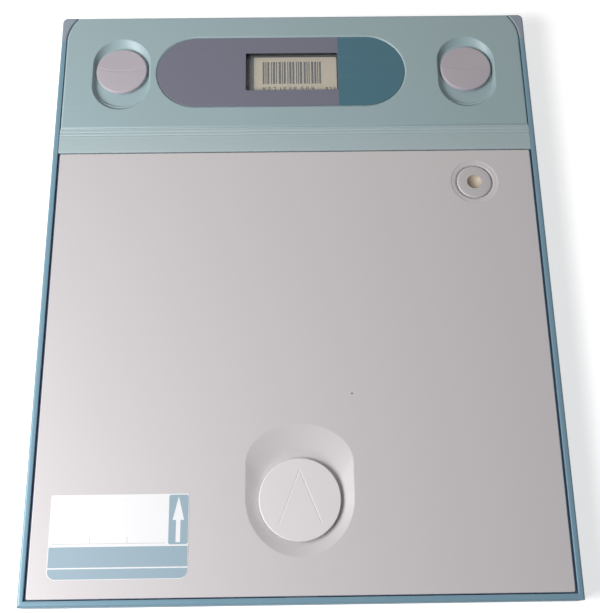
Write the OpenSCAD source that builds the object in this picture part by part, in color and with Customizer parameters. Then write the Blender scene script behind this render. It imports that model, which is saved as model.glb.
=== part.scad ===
// Imaging-plate cassette for radiography, lying on its tube side with its back up.
// A shallow frame holds the front panel and the plate. Two leaves close it: a header flap with
// two sprung slide latches and a back lid with a sliding lock disc. Both bend at one grooved hinge.
// X runs across, Y towards the header, Z up out of the back. The tube side is the plane z = 0.

/* [Case] */
// Outside width of the frame
case_w = 268; // [240:1:320]
// Outside length of the frame
case_l = 328; // [310:1:420]
// Thickness from the tube side to the top of the rails
case_h = 15; // [15:0.1:17]
// Thickness of the rail walls
rail_w = 3; // [2.6:0.1:4]
// Radius on the rails' outer edges
rail_round = 1.1; // [0.5:0.1:1.3]
// Radius of the frame's corners at the caps
cap_round = 3; // [1:0.5:3.4]
// Length of the corner caps along the side rails
cap_l = 16; // [14:0.5:20]

/* [Tube side] */
// Width of the ledge that carries the front panel
ledge_w = 6; // [4:0.5:8]
// Thickness of that ledge
ledge_t = 1; // [0.8:0.1:1.2]
// Thickness of the front panel
panel_t = 1.8; // [1.4:0.1:2]
// Thickness of the felt under the imaging plate
felt_t = 0.5; // [0.3:0.1:0.6]
// Distance from a side rail to the imaging plate
plate_side = 5; // [4.5:0.5:10]
// Distance from the top rail to the imaging plate
plate_end = 15; // [10:0.5:20]
// Thickness of the imaging plate
plate_t = 0.9; // [0.6:0.1:1]
// Distance from the bottom rail to the imaging plate
plate_inset = 4; // [4:0.5:8]
// Width of the light seal strips
seal_w = 2.4; // [1.6:0.1:3.2]
// Height of the light seal strips
seal_h = 2; // [1.5:0.1:2.2]

/* [Header flap] */
// Distance from the header's end to its lower edge
header_l = 73.4; // [70:0.2:78]
// Gap between the header and the side rails
header_gap = 0.2; // [0.15:0.05:0.8]
// Radius of the header's free corners
header_round = 24; // [20:1:28]
// Thickness of the header's top and walls
header_wall = 1.8; // [1.4:0.1:2.2]
// Height of the lip that covers the top rail
lip_h = 3; // [2.6:0.1:3.4]
// Thickness of the header's inner cover
cover_t = 1.2; // [0.9:0.1:1.4]

/* [Name plate and window] */
// Distance from the left knob to the name plate
name_left = 6.1; // [2:0.1:14]
// Distance from the right knob to the name plate
name_right = 20.9; // [4:0.1:30]
// Height of the name plate
name_h = 45; // [40:0.5:47]
// Distance of the name plate's centre from the header's lower edge
name_rise = 36.4; // [34:0.1:38]
// Depth of the name plate's seat
name_depth = 0.8; // [0.6:0.05:1]
// Thickness of the name plate
name_t = 0.5; // [0.3:0.05:0.6]
// Width of the window
window_w = 52.6; // [40:0.2:56]
// Height of the window
window_h = 24.6; // [18:0.2:28]
// Distance of the window's centre from the middle of the case
window_x = -1.2; // [-6:0.2:4]
// Depth of the bar label below the back of the case
label_depth = 4.2; // [4:0.1:4.6]
// Thickness of the clear window
lens_t = 0.8; // [0.6:0.1:1]

/* [Latches] */
// Distance of the latches from the header's sides
latch_inset = 32.4; // [28:0.1:34]
// Distance of the knobs' centres from the header's lower edge
knob_rise = 38; // [34:0.2:40]
// Diameter of a latch knob
knob_d = 28.8; // [26:0.2:30]
// Thickness of a latch knob
knob_t = 2.3; // [1.8:0.1:2.4]
// Radius of the hollow in a knob's upper part
scoop_r = 700; // [400:10:1200]
// Radius in plan of the curved step on a knob
scoop_reach = 37; // [32:0.5:44]
// Height of that step
scoop_step = 0.25; // [0.1:0.05:0.4]
// Depth of the recess round a knob
recess_depth = 3; // [2.8:0.1:3.1]
// Slope of the recess's ends, measured in plan
recess_slope = 4; // [2:0.2:4.6]
// Slope of the recess's sides, measured in plan
recess_side = 1.2; // [0.6:0.1:1.6]
// Travel of a latch from the photographed place to open
latch_open = 5.5; // [4:0.1:6]
// Travel of a latch from the photographed place to home in its keeper
latch_home = 1.7; // [1.5:0.1:1.9]
// Width of a latch bolt
bolt_w = 12; // [8:0.5:14]
// Thickness of the latch bolts and the lock bolt
bolt_t = 2.2; // [1.8:0.1:2.3]

/* [Back lid] */
// Thickness of the back plate
back_t = 1; // [0.8:0.1:1.2]
// Gap between the back plate and the rails
lid_gap = 1.2; // [0.9:0.1:1.6]
// Drop of the back plate below the rails
lid_drop = 0.4; // [0.3:0.05:0.6]
// Thickness of the lid frame's floor
tray_t = 1.2; // [1:0.1:1.4]
// Gap between the lid frame and the rails
rim_gap = 0.4; // [0.3:0.05:1]
// Thickness of the lid frame's rim
tray_rim = 2; // [1.6:0.1:2.6]
// Thickness of the lead foil
lead_t = 0.2; // [0.1:0.05:0.25]
// Thickness of the pressure foam
foam_t = 2.2; // [1.8:0.1:2.2]
// Width of the rigid band beside the hinge
band_l = 8.8; // [6:0.2:12]

/* [Flexible hinge] */
// Width of the flexible part
web_l = 6; // [5:0.1:7]
// Thickness of the flexible part
web_t = 0.8; // [0.6:0.05:0.9]
// Depth of its grooves
groove_depth = 0.3; // [0.1:0.05:0.4]
// Width of its grooves
groove_w = 0.5; // [0.3:0.05:0.7]
// Number of grooves
groove_n = 3; // [2:1:4]

/* [Lock disc] */
// Diameter of the lock disc
disc_d = 40.4; // [36:0.2:42]
// Thickness of the lock disc
disc_t = 2.3; // [1.8:0.1:2.3]
// Distance of the disc's centre from the bottom end
disc_y = 48.8; // [44:0.2:60]
// Depth of the dish round the disc
dish_depth = 2.4; // [2.2:0.1:2.4]
// Radius of the dish's round end
dish_r = 26.8; // [25.5:0.1:29]
// Distance from the disc's centre up to the centre of that round end
dish_rise = 1; // [0:0.1:2]
// Length of the dish's straight sides
dish_side = 17; // [8:0.5:24]
// Length of the dish above the disc's centre
dish_l = 37.5; // [34:0.5:44]
// Travel of the lock from the photographed place to open
lock_open = 6; // [4:0.1:6.5]
// Travel of the lock from the photographed place to home in its keeper
lock_home = 1.5; // [1.3:0.1:1.7]
// Depth of the engraved mark on the disc
mark_depth = 0.15; // [0.1:0.05:0.3]

/* [Plug] */
// Diameter of the plug
plug_d = 19.6; // [16:0.2:21]
// Diameter of the shallow seat round the plug
plug_seat_d = 26.6; // [24:0.2:30]
// Distance of the plug from the back plate's side edge
plug_inset = 31.8; // [24:0.2:50]
// Distance of the plug from the lid's upper edge
plug_y = 19.4; // [17:0.2:40]
// Diameter of the plug's dimple
dimple_d = 8.2; // [6:0.2:10]

/* [Writing label] */
// Width of the writing label
note_w = 66.4; // [50:0.2:70]
// Height of the writing label
note_h = 39.2; // [30:0.2:42]
// Distance of the label from the back plate's side edge
note_inset = 8.9; // [5:0.1:14]
// Distance of the label from the back plate's bottom edge
note_rise = 9.4; // [5:0.1:14]

/* [Hidden] */
$fn = 64;
eps = 0.01;
seat = 0.1;                                   // running gap between a moving piece and its guide
mint = [0.62, 0.71, 0.71];
teal = [0.36, 0.56, 0.66];
silver = [0.80, 0.79, 0.79];
cap_grey = [0.62, 0.64, 0.68];
knob_pink = [0.78, 0.74, 0.77];

half_w = case_w / 2;
half_l = case_l / 2;
inner_x = half_w - rail_w;                    // inner face of the side rails
inner_y = half_l - rail_w;                    // inner face of the end rails
panel_z = ledge_t;
felt_z = panel_z + panel_t;
plate_z = felt_z + felt_t;
plate_top = plate_z + plate_t;

plate_x = inner_x - plate_side;
plate_y0 = -inner_y + plate_inset;
plate_y1 = inner_y - plate_end;
cap_in = 10;                                  // reach of a cap along the top rail
seal_gap = 0.4;                               // between the seal strips and what they run along

header_x = inner_x - header_gap;
latch_x = header_x - latch_inset;
header_y0 = half_l - header_l;                // lower edge of the header
header_y1 = half_l;
lip_z = case_h - lip_h;
top_rail_h = lip_z - 0.2;
swing_gap = 1;                                // room for the header's lower edge to swing out
body_y1 = inner_y - swing_gap;                // end of the header's deep part
header_z0 = plate_top + 0.8;
cover_top = header_z0 + cover_t;
header_roof = case_h - header_wall;

lid_top = case_h - lid_drop;
back_z = lid_top - back_t;
lid_x = inner_x - lid_gap;
plug_x = lid_x - plug_inset;
lid_y0 = -(inner_y - lid_gap);
web_y1 = header_y0;
web_y0 = web_y1 - web_l;
hinge_y = (web_y0 + web_y1) / 2;              // axis of both hinges, at the top of the case
web_top = case_h - 0.1;
web_z = web_top - web_t;
strip_x = inner_x - 0.2;                      // half width of the band and the web
band_y0 = web_y0 - band_l;
seam = 0.6;                                   // dark line between the band and the back plate
lid_y1 = band_y0 - seam;
foam_gap = 0.1;
foam_in = 1;                                  // step from the plate's edge to the foil and the foam
plate_round = 4;
foam_z = plate_top + foam_gap;
lead_z = foam_z + foam_t;
tray_z = lead_z + lead_t;
tray_floor = tray_z + tray_t;

name_x0 = -latch_x + knob_d / 2 + name_left;
name_x1 = latch_x - knob_d / 2 - name_right;
name_x = (name_x0 + name_x1) / 2;
name_l = name_x1 - name_x0;
name_y = header_y0 + name_rise;
name_floor = case_h - name_depth;
label_z = case_h - label_depth;
label_t = 0.15;
bezel_wall = 1.2;
label_shift = [2.9, -2];                      // the label lies off the window's centre
label_w = window_w - 3.2;
label_h = window_h + 4.4;
pad_margin = 3;

knob_y = header_y0 + knob_rise;
recess_floor = case_h - recess_depth;
knob_z = recess_floor + 0.35;
recess_skin = 1;
latch_bolt_z = recess_floor - recess_skin - 0.2 - bolt_t;
neck_w = 8;
slide_w = 24;
slide_l = 26;
tail_w = 6;                                   // narrow tail of a slide, which the spring pushes
tail_l = 2;
spring_l = 13.8;                              // space of a latch spring between tail and stop
stop_t = 1.6;
runner_x = 7;                                 // runners under a slide, from its middle
stop_y = knob_y - slide_l / 2 - tail_l - spring_l;
keeper_in = 1.25;                             // how far a bolt runs into its keeper when home
latch_tip = inner_y + keeper_in - latch_home;
spring_wire = 0.5;
spring_r = 0.9;
spring_turns = 9;
spring_end = spring_wire / 2 + 0.05;
slide_slot = 2.4;                             // width of the lightening slots in a slide

lock_y = -half_l + disc_y;
dish_floor = lid_top - dish_depth;
disc_z = dish_floor + 0.3;
lock_bolt_z = dish_floor - back_t - 0.2 - bolt_t;
lock_tip = -(inner_y + keeper_in - lock_home);
lock_slide_w = 30;
lock_slide_l = 34;
lock_spring_l = 16;
lock_stop_y = lock_y + lock_slide_l / 2 + tail_l + lock_spring_l;
rib_n = 5;                                    // ribs along the lid
rib_t = 1.6;
rib_y0 = lock_y + dish_l + 7;                 // lower end of the ribs, clear of the dish
plug_cy = lid_y1 - plug_y;
plug_z = lid_top - 0.1;

// A flat plate between two corners given in plan
module slab(x0, y0, x1, y1, z, t) {
    translate([x0, y0, z]) cube([x1 - x0, y1 - y0, t]);
}

// Plan outline with straight sides and round ends, standing along Y
module upright_slot(w, y0, y1) {
    union() {
        translate([0, y0]) circle(d = w);
        translate([0, y1]) circle(d = w);
        translate([-w / 2, y0]) square([w, y1 - y0]);
    }
}

// Plan outline of a rectangle with round corners
module round_rect(w, l, r) {
    union() {
        translate([-w / 2 + r, -l / 2]) square([w - 2 * r, l]);
        translate([-w / 2, -l / 2 + r]) square([w, l - 2 * r]);
        for (sx = [-1, 1], sy = [-1, 1])
            translate([sx * (w / 2 - r), sy * (l / 2 - r)]) circle(r = r);
    }
}

// Section of a rail: a wall with round outer edges and a ledge that points inwards
module rail_section(h) {
    difference() {
        union() {
            translate([-rail_w, 0]) square([rail_w, h]);
            translate([-rail_w - ledge_w, 0]) square([rail_w + ledge_w, ledge_t]);
        }
        translate([-rail_round, h - rail_round]) difference() {
            square(rail_round + 1);
            circle(r = rail_round);
        }
        translate([-rail_round / 2, rail_round / 2]) difference() {
            translate([0, -rail_round / 2 - 1]) square([rail_round / 2 + 1, rail_round / 2 + 1]);
            circle(r = rail_round / 2);
        }
    }
}

// Plan area of the right rail: from the cap down to the mitre at the bottom corner
module side_plan() {
    reach = rail_w + ledge_w;
    polygon([
        [half_w, -half_l], [half_w, half_l - cap_l], [half_w - reach, half_l - cap_l],
        [half_w - reach, -half_l + reach]
    ]);
}

module right_rail_shape() {
    intersection() {
        translate([half_w, half_l, 0]) rotate([90, 0, 0])
            linear_extrude(case_l) rail_section(case_h);
        translate([0, 0, -1]) linear_extrude(case_h + 2) side_plan();
    }
}

module left_rail() { color(teal) mirror([1, 0, 0]) right_rail_shape(); }

module right_rail() { color(teal) right_rail_shape(); }

module bottom_rail() {
    reach = rail_w + ledge_w;
    color(teal) difference() {
        intersection() {
            translate([-half_w, -half_l, 0]) rotate([90, 0, 90])
                linear_extrude(case_w) mirror([1, 0]) rail_section(case_h);
            translate([0, 0, -1]) linear_extrude(case_h + 2) polygon([
                [-half_w, -half_l], [half_w, -half_l],
                [half_w - reach, -half_l + reach], [-half_w + reach, -half_l + reach]
            ]);
        }
        keeper(-inner_y, lock_bolt_z, lock_slide_w / 2, -1);
    }
}

// Pocket in an end rail that takes a bolt
module keeper(y, z, w, way) {
    depth = keeper_in + 0.35;
    translate([-w / 2 - 0.3, way > 0 ? y - 1 : y - depth, z - 0.3])
        cube([w + 0.6, depth + 1, bolt_t + 0.6]);
}

module top_rail() {
    w = case_w - 2 * cap_in;
    color(teal) difference() {
        translate([-w / 2, half_l, 0]) rotate([90, 0, 90])
            linear_extrude(w) rail_section(top_rail_h);
        for (s = [-1, 1]) translate([s * latch_x, 0, 0]) keeper(inner_y, latch_bolt_z, bolt_w, 1);
    }
}

// Plan outline of the header, grown on its free sides
module header_plan(grow, y0, y1) {
    w = header_x + grow;
    r = header_round + grow;
    cy = half_l - cap_l;
    intersection() {
        translate([-w, y0]) square([2 * w, y1 - y0]);
        union() {
            translate([-w, y0 - 1]) square([2 * w, cy - y0 + 1]);
            translate([-w + r, y0 - 1]) square([2 * (w - r), y1 + r - y0]);
            for (s = [-1, 1]) translate([s * (w - r), cy]) circle(r = r, $fn = 160);
        }
    }
}

// A corner cap: horn beside the header, block at the end of the top rail, and its ledge
module right_cap_shape() {
    y0 = half_l - cap_l;
    difference() {
        cap_block(y0);
        // Room for the front panel's corner
        slab(0, y0 - 1, inner_x, inner_y, panel_z, panel_t + seat);
    }
}

module cap_block(y0) {
    intersection() {
        union() {
            linear_extrude(case_h) difference() {
                translate([half_w - cap_in, y0]) square([cap_in, cap_l]);
                header_plan(header_gap, y0 - 1, half_l + 1);
            }
            slab(half_w - cap_in, inner_y, half_w, half_l, 0, top_rail_h);
            slab(half_w - rail_w - ledge_w, y0, half_w, half_l, 0, ledge_t);
            slab(half_w - cap_in, half_l - rail_w - ledge_w, half_w, half_l, 0, ledge_t);
        }
        translate([half_w - cap_in, y0, -1]) linear_extrude(case_h + 2) difference() {
            square([cap_in, cap_l]);
            translate([cap_in - cap_round, cap_l - cap_round]) difference() {
                square(cap_round + 1);
                circle(r = cap_round);
            }
        }
    }
}

module left_cap() { color(cap_grey) mirror([1, 0, 0]) right_cap_shape(); }

module right_cap() { color(cap_grey) right_cap_shape(); }

module front_panel() {
    g = 0.2;
    color("dimgray")
        slab(-inner_x + g, -inner_y + g, inner_x - g, inner_y - g, panel_z, panel_t);
}

module front_felt() {
    color("black") slab(-plate_x, plate_y0, plate_x, plate_y1, felt_z, felt_t);
}

module imaging_plate() {
    color("whitesmoke") translate([0, (plate_y0 + plate_y1) / 2, plate_z])
        linear_extrude(plate_t) round_rect(2 * plate_x, plate_y1 - plate_y0, plate_round);
}

// Four separate felt strips on the front panel, round the imaging plate
module light_seal() {
    x1 = inner_x - seal_gap;
    x0 = x1 - seal_w;
    y0 = -inner_y + seal_gap;
    y1 = plate_y1 + seal_gap + seal_w;
    color("black") {
        for (s = [-1, 1])
            slab(s > 0 ? x0 : -x1, y0, s > 0 ? x1 : -x0, y1, felt_z, seal_h);
        for (y = [y0, y1 - seal_w])
            slab(-x0 + seal_gap / 2, y, x0 - seal_gap / 2, y + seal_w, felt_z, seal_h);
    }
}

// Sloping recess of a latch; d moves its floor down and g widens it
module latch_recess(d, g) {
    w = knob_d + 0.8;
    y0 = knob_y - latch_open;
    y1 = knob_y + latch_home;
    run = recess_slope - recess_side;
    hull() {
        translate([0, 0, recess_floor - d]) linear_extrude(eps) upright_slot(w + 2 * g, y0, y1);
        translate([0, 0, case_h]) linear_extrude(1)
            upright_slot(w + 2 * (recess_side + g), y0 - run, y1 + run);
    }
}

module header_housing() {
    color(mint) difference() {
        union() {
            difference() {
                union() {
                    translate([0, 0, lip_z]) linear_extrude(lip_h)
                        header_plan(0, header_y0, header_y1);
                    translate([0, 0, header_z0]) linear_extrude(case_h - header_z0)
                        header_plan(0, header_y0, body_y1);
                }
                translate([0, 0, header_z0 - 1]) linear_extrude(header_roof - header_z0 + 1)
                    header_plan(-header_wall, header_y0 + header_wall, body_y1 - header_wall);
            }
            for (s = [-1, 1]) translate([s * latch_x, 0, 0]) intersection() {
                latch_recess(recess_skin, recess_skin);
                slab(-half_w, header_y0, half_w, body_y1, 0, header_roof + eps);
            }
            for (p = screw_places()) translate([p[0], p[1], cover_top])
                cylinder(d = 5, h = header_roof - cover_top + eps, $fn = 32);
        }
        for (s = [-1, 1]) translate([s * latch_x, 0, 0]) {
            latch_recess(0, 0);
            linear_extrude(case_h) upright_slot(
                neck_w + 0.6, knob_y - latch_open - 1.3, knob_y + latch_home + 1.3);
            slab(-bolt_w / 2 - 0.3, body_y1 - header_wall - 1, bolt_w / 2 + 0.3, body_y1 + 1,
                 latch_bolt_z - 0.3, bolt_t + 0.6);
        }
        translate([name_x, name_y, name_floor]) linear_extrude(2) name_plan(0.3);
        translate([name_x, name_y, case_h - 0.5]) name_bevel();
        translate([window_x, name_y, header_z0]) linear_extrude(case_h)
            square([window_w + 2 * bezel_wall + 0.2, window_h + 2 * bezel_wall + 0.2], center = true);
        for (p = screw_places()) translate([p[0], p[1], header_z0])
            cylinder(d = 1.6, h = cover_t + 4.2, $fn = 24);
        edge_round();
    }
}

// Cutter that rounds the header's free end
module edge_round() {
    r = 1.5;
    translate([-half_w, half_l, 0]) rotate([90, 0, 90]) linear_extrude(case_w)
        translate([-r, case_h - r]) difference() {
            square(r + 1);
            circle(r = r);
        }
}

// Plan outline of the name plate: straight sides and round ends, lying along X
module name_plan(grow) {
    rotate(90) upright_slot(name_h + 2 * grow, -(name_l - name_h) / 2, (name_l - name_h) / 2);
}

// Bevel round the seat of the name plate
module name_bevel() {
    r = name_h / 2 + 0.3;
    run = (name_l - name_h) / 2;
    for (s = [-1, 1]) translate([s * run, 0, 0]) cylinder(r1 = r, r2 = r + 1, h = 1);
    rotate([90, 0, 90]) translate([0, 0, -run]) linear_extrude(2 * run)
        polygon([[-r, 0], [r, 0], [r + 1, 1], [-r - 1, 1]]);
}

// Places of the screws that hold the inner cover: at the sides and beside the latches
screw_in = 5;
screw_beside = knob_d / 2 + 8.6;
function screw_places() = [
    for (s = [-1, 1], p = [[header_x - screw_in, header_y0 + screw_in],
        [header_x - screw_in, knob_y + screw_in], [latch_x - screw_beside, header_y0 + screw_in],
        [latch_x - screw_beside, body_y1 - screw_in]]) [s * p[0], p[1]]
];

module header_cover() {
    rib = 1.6;
    top = latch_bolt_z - seat;
    color("slategray") difference() {
        union() {
            translate([0, 0, header_z0]) linear_extrude(cover_t) header_plan(
                -header_wall - 0.1, header_y0 + header_wall + 0.1, body_y1 - header_wall - 0.1);
            // Pad that carries the bar label
            translate([window_x, name_y, cover_top - eps]) translate(label_shift)
                linear_extrude(label_z - label_t - cover_top + eps)
                round_rect(label_w + 2 * pad_margin, label_h + pad_margin, 2);
            for (s = [-1, 1]) translate([s * latch_x, 0, 0]) {
                // Runners under the slide and cheeks beside it
                for (t = [-1, 1]) {
                    slab(t * runner_x - rib / 2, knob_y - slide_l / 2 - latch_open - rib,
                         t * runner_x + rib / 2, body_y1 - header_wall - 2 * rib,
                         cover_top - eps, top - cover_top + eps);
                    translate([t * (slide_w / 2 + seat + rib / 2), 0, 0]) slab(
                        -rib / 2, knob_y - slide_l / 2 - latch_open - rib, rib / 2,
                        knob_y + slide_l / 2 + latch_home + rib,
                        cover_top - eps, top + bolt_t - cover_top + eps);
                }
                // Stop for the spring
                slab(-tail_w / 2 - 1, stop_y - stop_t, tail_w / 2 + 1, stop_y,
                     cover_top - eps, top + bolt_t - cover_top + eps);
            }
        }
        for (p = screw_places()) translate([p[0], p[1], header_z0 - 1]) {
            cylinder(d = 2.4, h = cover_t + 2, $fn = 24);
            cylinder(d = 4.2, h = 1 + 0.6, $fn = 24);
        }
    }
}

// Countersunk screws, as one group of separate solids
module header_screws() {
    color("gainsboro") for (p = screw_places()) translate([p[0], p[1], header_z0]) difference() {
        union() {
            cylinder(d = 3.8, h = 0.6, $fn = 24);
            cylinder(d = 1.6, h = cover_t + 4, $fn = 24);
        }
        for (a = [0, 90]) rotate(a) translate([-1.1, -0.2, -eps]) cube([2.2, 0.4, 0.35]);
    }
}

module name_plate() {
    color("dimgray") translate([name_x, name_y, name_floor]) difference() {
        linear_extrude(name_t) name_plan(0);
        translate([window_x - name_x, 0, -1]) linear_extrude(name_t + 2)
            round_rect(window_w, window_h, 0.8);
    }
}

// Dark well under the window, with a step that holds the clear window
module window_bezel() {
    z0 = label_z + 0.1;
    color("black") translate([window_x, name_y, z0]) difference() {
        linear_extrude(name_floor - z0) round_rect(
            window_w + 2 * bezel_wall, window_h + 2 * bezel_wall, 0.8);
        translate([0, 0, -1]) linear_extrude(10) round_rect(window_w - 1.2, window_h - 1.2, 0.6);
        translate([0, 0, 0.5]) linear_extrude(10) round_rect(window_w, window_h, 0.8);
    }
}

module window_lens() {
    g = 0.1;
    color([0.85, 0.9, 0.9, 0.3]) translate([window_x, name_y, label_z + 0.1 + 0.5])
        linear_extrude(lens_t) round_rect(window_w - 2 * g, window_h - 2 * g, 0.7);
}

module bar_label() {
    color("wheat") translate([window_x, name_y, label_z - label_t]) translate(label_shift)
        linear_extrude(label_t) round_rect(label_w, label_h, 1);
}

// Knob of a latch: a disc with a scooped upper part that leaves a curved step for the thumb
module latch_knob_shape(x) {
    r = knob_d / 2;
    scoop_y = knob_y + scoop_reach - 0.6;
    top = knob_z + knob_t;
    drop = sqrt(scoop_r * scoop_r - scoop_reach * scoop_reach);
    inner = scoop_reach - knob_d;
    bowl = [for (i = [0 : 8]) let (q = inner + i * (scoop_reach - inner) / 8)
        [q, drop - sqrt(scoop_r * scoop_r - q * q) - scoop_step]];
    translate([x, 0, 0]) difference() {
        union() {
            translate([0, knob_y, knob_z]) rotate_extrude() polygon([
                [0, 0], [r - 0.3, 0], [r, 0.3], [r, knob_t - 0.7], [r - 0.7, knob_t], [0, knob_t]
            ]);
            translate([0, 0, latch_bolt_z + bolt_t])
                linear_extrude(knob_z - latch_bolt_z - bolt_t + 0.5)
                upright_slot(neck_w, knob_y - 1, knob_y + 1);
        }
        translate([0, scoop_y, top]) rotate_extrude($fn = 180)
            polygon(concat(bowl, [[scoop_reach, 1], [inner, 1]]));
    }
}

// Slide under a knob, with the bolt that runs into the top rail
module latch_bolt_shape(x) {
    color("lightgray") translate([x, 0, latch_bolt_z]) difference() {
        union() {
            slab(-slide_w / 2, knob_y - slide_l / 2, slide_w / 2, knob_y + slide_l / 2, 0, bolt_t);
            slab(-bolt_w / 2, knob_y, bolt_w / 2, latch_tip, 0, bolt_t);
            slab(-tail_w / 2, knob_y - slide_l / 2 - tail_l, tail_w / 2, knob_y, 0, bolt_t);
        }
        for (s = [-1, 1]) translate([s * (slide_w / 2 - slide_slot * 1.5), knob_y, -1])
            linear_extrude(bolt_t + 2)
            upright_slot(slide_slot, -slide_l / 3, slide_l / 3);
    }
}

// Centre line of a coil spring along Y, in a frame where it starts at zero
function coil_point(a, len, r) = [r * cos(a), len * a / 360 / spring_turns, r * sin(a)];

// Tube swept along the coil: rings of points joined by triangles
module coil(len, r, wire) {
    rings = spring_turns * 8;
    sides = 6;
    step = len / spring_turns;
    gap = step * cos(atan(step / (2 * PI * r))) - wire;
    echo(spring_gap = gap);
    lift = atan(step / (2 * PI * r));
    pts = [for (i = [0 : rings]) let (a = i * 45, c = coil_point(a, len, r))
        for (k = [0 : sides - 1]) let (b = k * 360 / sides) c
            + wire / 2 * cos(b) * [cos(a), 0, sin(a)]
            + wire / 2 * sin(b) * [sin(a) * sin(lift), cos(lift), -cos(a) * sin(lift)]];
    skin = [for (i = [0 : rings - 1], k = [0 : sides - 1])
        let (a = i * sides + k, b = i * sides + (k + 1) % sides)
        each [[a, b, b + sides], [a, b + sides, a + sides]]];
    ends = [[for (k = [sides - 1 : -1 : 0]) k], [for (k = [0 : sides - 1]) rings * sides + k]];
    polyhedron(points = pts, faces = concat(skin, ends), convexity = 10);
}

module latch_spring_shape(x) {
    color("silver") translate([x, stop_y + spring_end, latch_bolt_z + bolt_t / 2])
        coil(spring_l - 2 * spring_end, spring_r, spring_wire);
}

module left_latch_knob() { color(knob_pink) latch_knob_shape(-latch_x); }

module right_latch_knob() { color(knob_pink) latch_knob_shape(latch_x); }

module left_latch_bolt() { latch_bolt_shape(-latch_x); }

module right_latch_bolt() { latch_bolt_shape(latch_x); }

module left_latch_spring() { latch_spring_shape(-latch_x); }

module right_latch_spring() { latch_spring_shape(latch_x); }

// Flexible strip between the header and the lid's band, with grooves along its length
module hinge_web() {
    pitch = web_l / groove_n;
    color(mint) difference() {
        slab(-strip_x, web_y0, strip_x, web_y1, web_z, web_t);
        for (i = [0 : groove_n - 1])
            slab(-case_w, web_y1 - 0.3 - i * pitch - groove_w, case_w, web_y1 - 0.3 - i * pitch,
                 web_top - groove_depth, 1);
    }
}

module hinge_band() {
    color(mint) difference() {
        slab(-strip_x, band_y0, strip_x, web_y0, back_z, web_top - back_z);
        translate([0, band_y0, web_top]) rotate([45, 0, 0])
            cube([2 * case_w, 0.6, 0.6], center = true);
    }
}

// Dish round the lock disc: flat floor along the travel, round lower end, long upper ramp
module dish(d, g) {
    w = disc_d + 0.8;
    arch = dish_l - dish_rise - dish_side;
    hull() {
        translate([0, 0, dish_floor - d]) linear_extrude(eps)
            upright_slot(w + 2 * g, lock_y - lock_home, lock_y + lock_open);
        translate([0, lock_y + dish_rise, lid_top]) linear_extrude(0.2) union() {
            circle(r = dish_r + g, $fn = 96);
            translate([-dish_r - g, 0]) square([2 * (dish_r + g), dish_side]);
            translate([0, dish_side]) resize([2 * (dish_r + g), 2 * (arch + g)])
                circle(r = dish_r + g, $fn = 96);
        }
    }
}

module back_plate() {
    cx = 0;
    cy = (lid_y0 + lid_y1) / 2;
    color(silver) difference() {
        union() {
            translate([cx, cy, back_z]) linear_extrude(back_t)
                round_rect(2 * lid_x, lid_y1 - lid_y0, 1);
            intersection() {
                dish(back_t, back_t);
                slab(-half_w, lid_y0, half_w, lid_y1, 0, back_z + eps);
            }
            translate([plug_x, plug_cy, back_z - 0.7]) cylinder(d = plug_seat_d, h = 0.7 + eps);
        }
        dish(0, 0);
        linear_extrude(case_h) upright_slot(
            neck_w + 0.6, lock_y - lock_home - 2.4, lock_y + lock_open + 2.4);
        translate([plug_x, plug_cy, lid_top - 0.7])
            cylinder(d1 = plug_d + 0.8, d2 = plug_seat_d, h = 0.7 + eps);
        translate([plug_x, plug_cy, 0]) cylinder(d = plug_d - 5.6, h = case_h);
    }
}

// Frame of the lid: floor, rim, cross ribs and the guide of the lock
module lid_frame() {
    x1 = inner_x - rim_gap;
    y0 = -inner_y + rim_gap;
    y1 = web_y0 + 1.6;
    guide = lock_slide_w / 2 + seat;
    deep = dish_floor - back_t - 0.1;
    color("darkslategray") difference() {
        union() {
            slab(-x1, y0, x1, y1, tray_z, tray_t);
            difference() {
                slab(-x1, y0, x1, y1, tray_z, back_z - tray_z);
                slab(-x1 + tray_rim, y0 + tray_rim, x1 - tray_rim, y1 - tray_rim - 6, 0, case_h);
            }
            for (i = [1 : rib_n]) translate([-x1 + i * 2 * x1 / (rib_n + 1), 0, 0])
                slab(-rib_t / 2, rib_y0, rib_t / 2, lid_y1, tray_z, back_z - tray_z);
            for (y = [rib_y0, (rib_y0 + lid_y1) / 2])
                slab(-x1, y - rib_t / 2, x1, y + rib_t / 2, tray_z, back_z - tray_z);
            for (s = [-1, 1]) translate([s * (guide + rib_t / 2), 0, 0])
                slab(-rib_t / 2, y0 + tray_rim, rib_t / 2, lock_y + lock_slide_l / 2 + lock_open,
                     tray_z, deep - tray_z);
            slab(-tail_w / 2 - 1, lock_stop_y, tail_w / 2 + 1, lock_stop_y + stop_t, tray_z,
                 deep - tray_z);
        }
        dish(back_t + 0.1, back_t + 0.1);
        translate([plug_x, plug_cy, back_z - 4]) cylinder(d = plug_seat_d + 1, h = 8);
        slab(-lock_slide_w / 4 - 0.3, y0 - 1, lock_slide_w / 4 + 0.3, y0 + tray_rim + 4,
             lock_bolt_z - 0.3, bolt_t + 0.6);
        slab(-case_w, lid_y1 + band_l + seam, case_w, y1 + 1, web_z, 2);
    }
}

module lead_foil() {
    color("gray") slab(-plate_x, plate_y0 + foam_in, plate_x, web_y0 - 2 * foam_in, lead_z, lead_t);
}

module pressure_foam() {
    x = plate_x - foam_in;
    color([0.2, 0.2, 0.22])
        slab(-x, plate_y0 + 2 * foam_in, x, web_y0 - 3 * foam_in, foam_z, foam_t);
}

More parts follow.
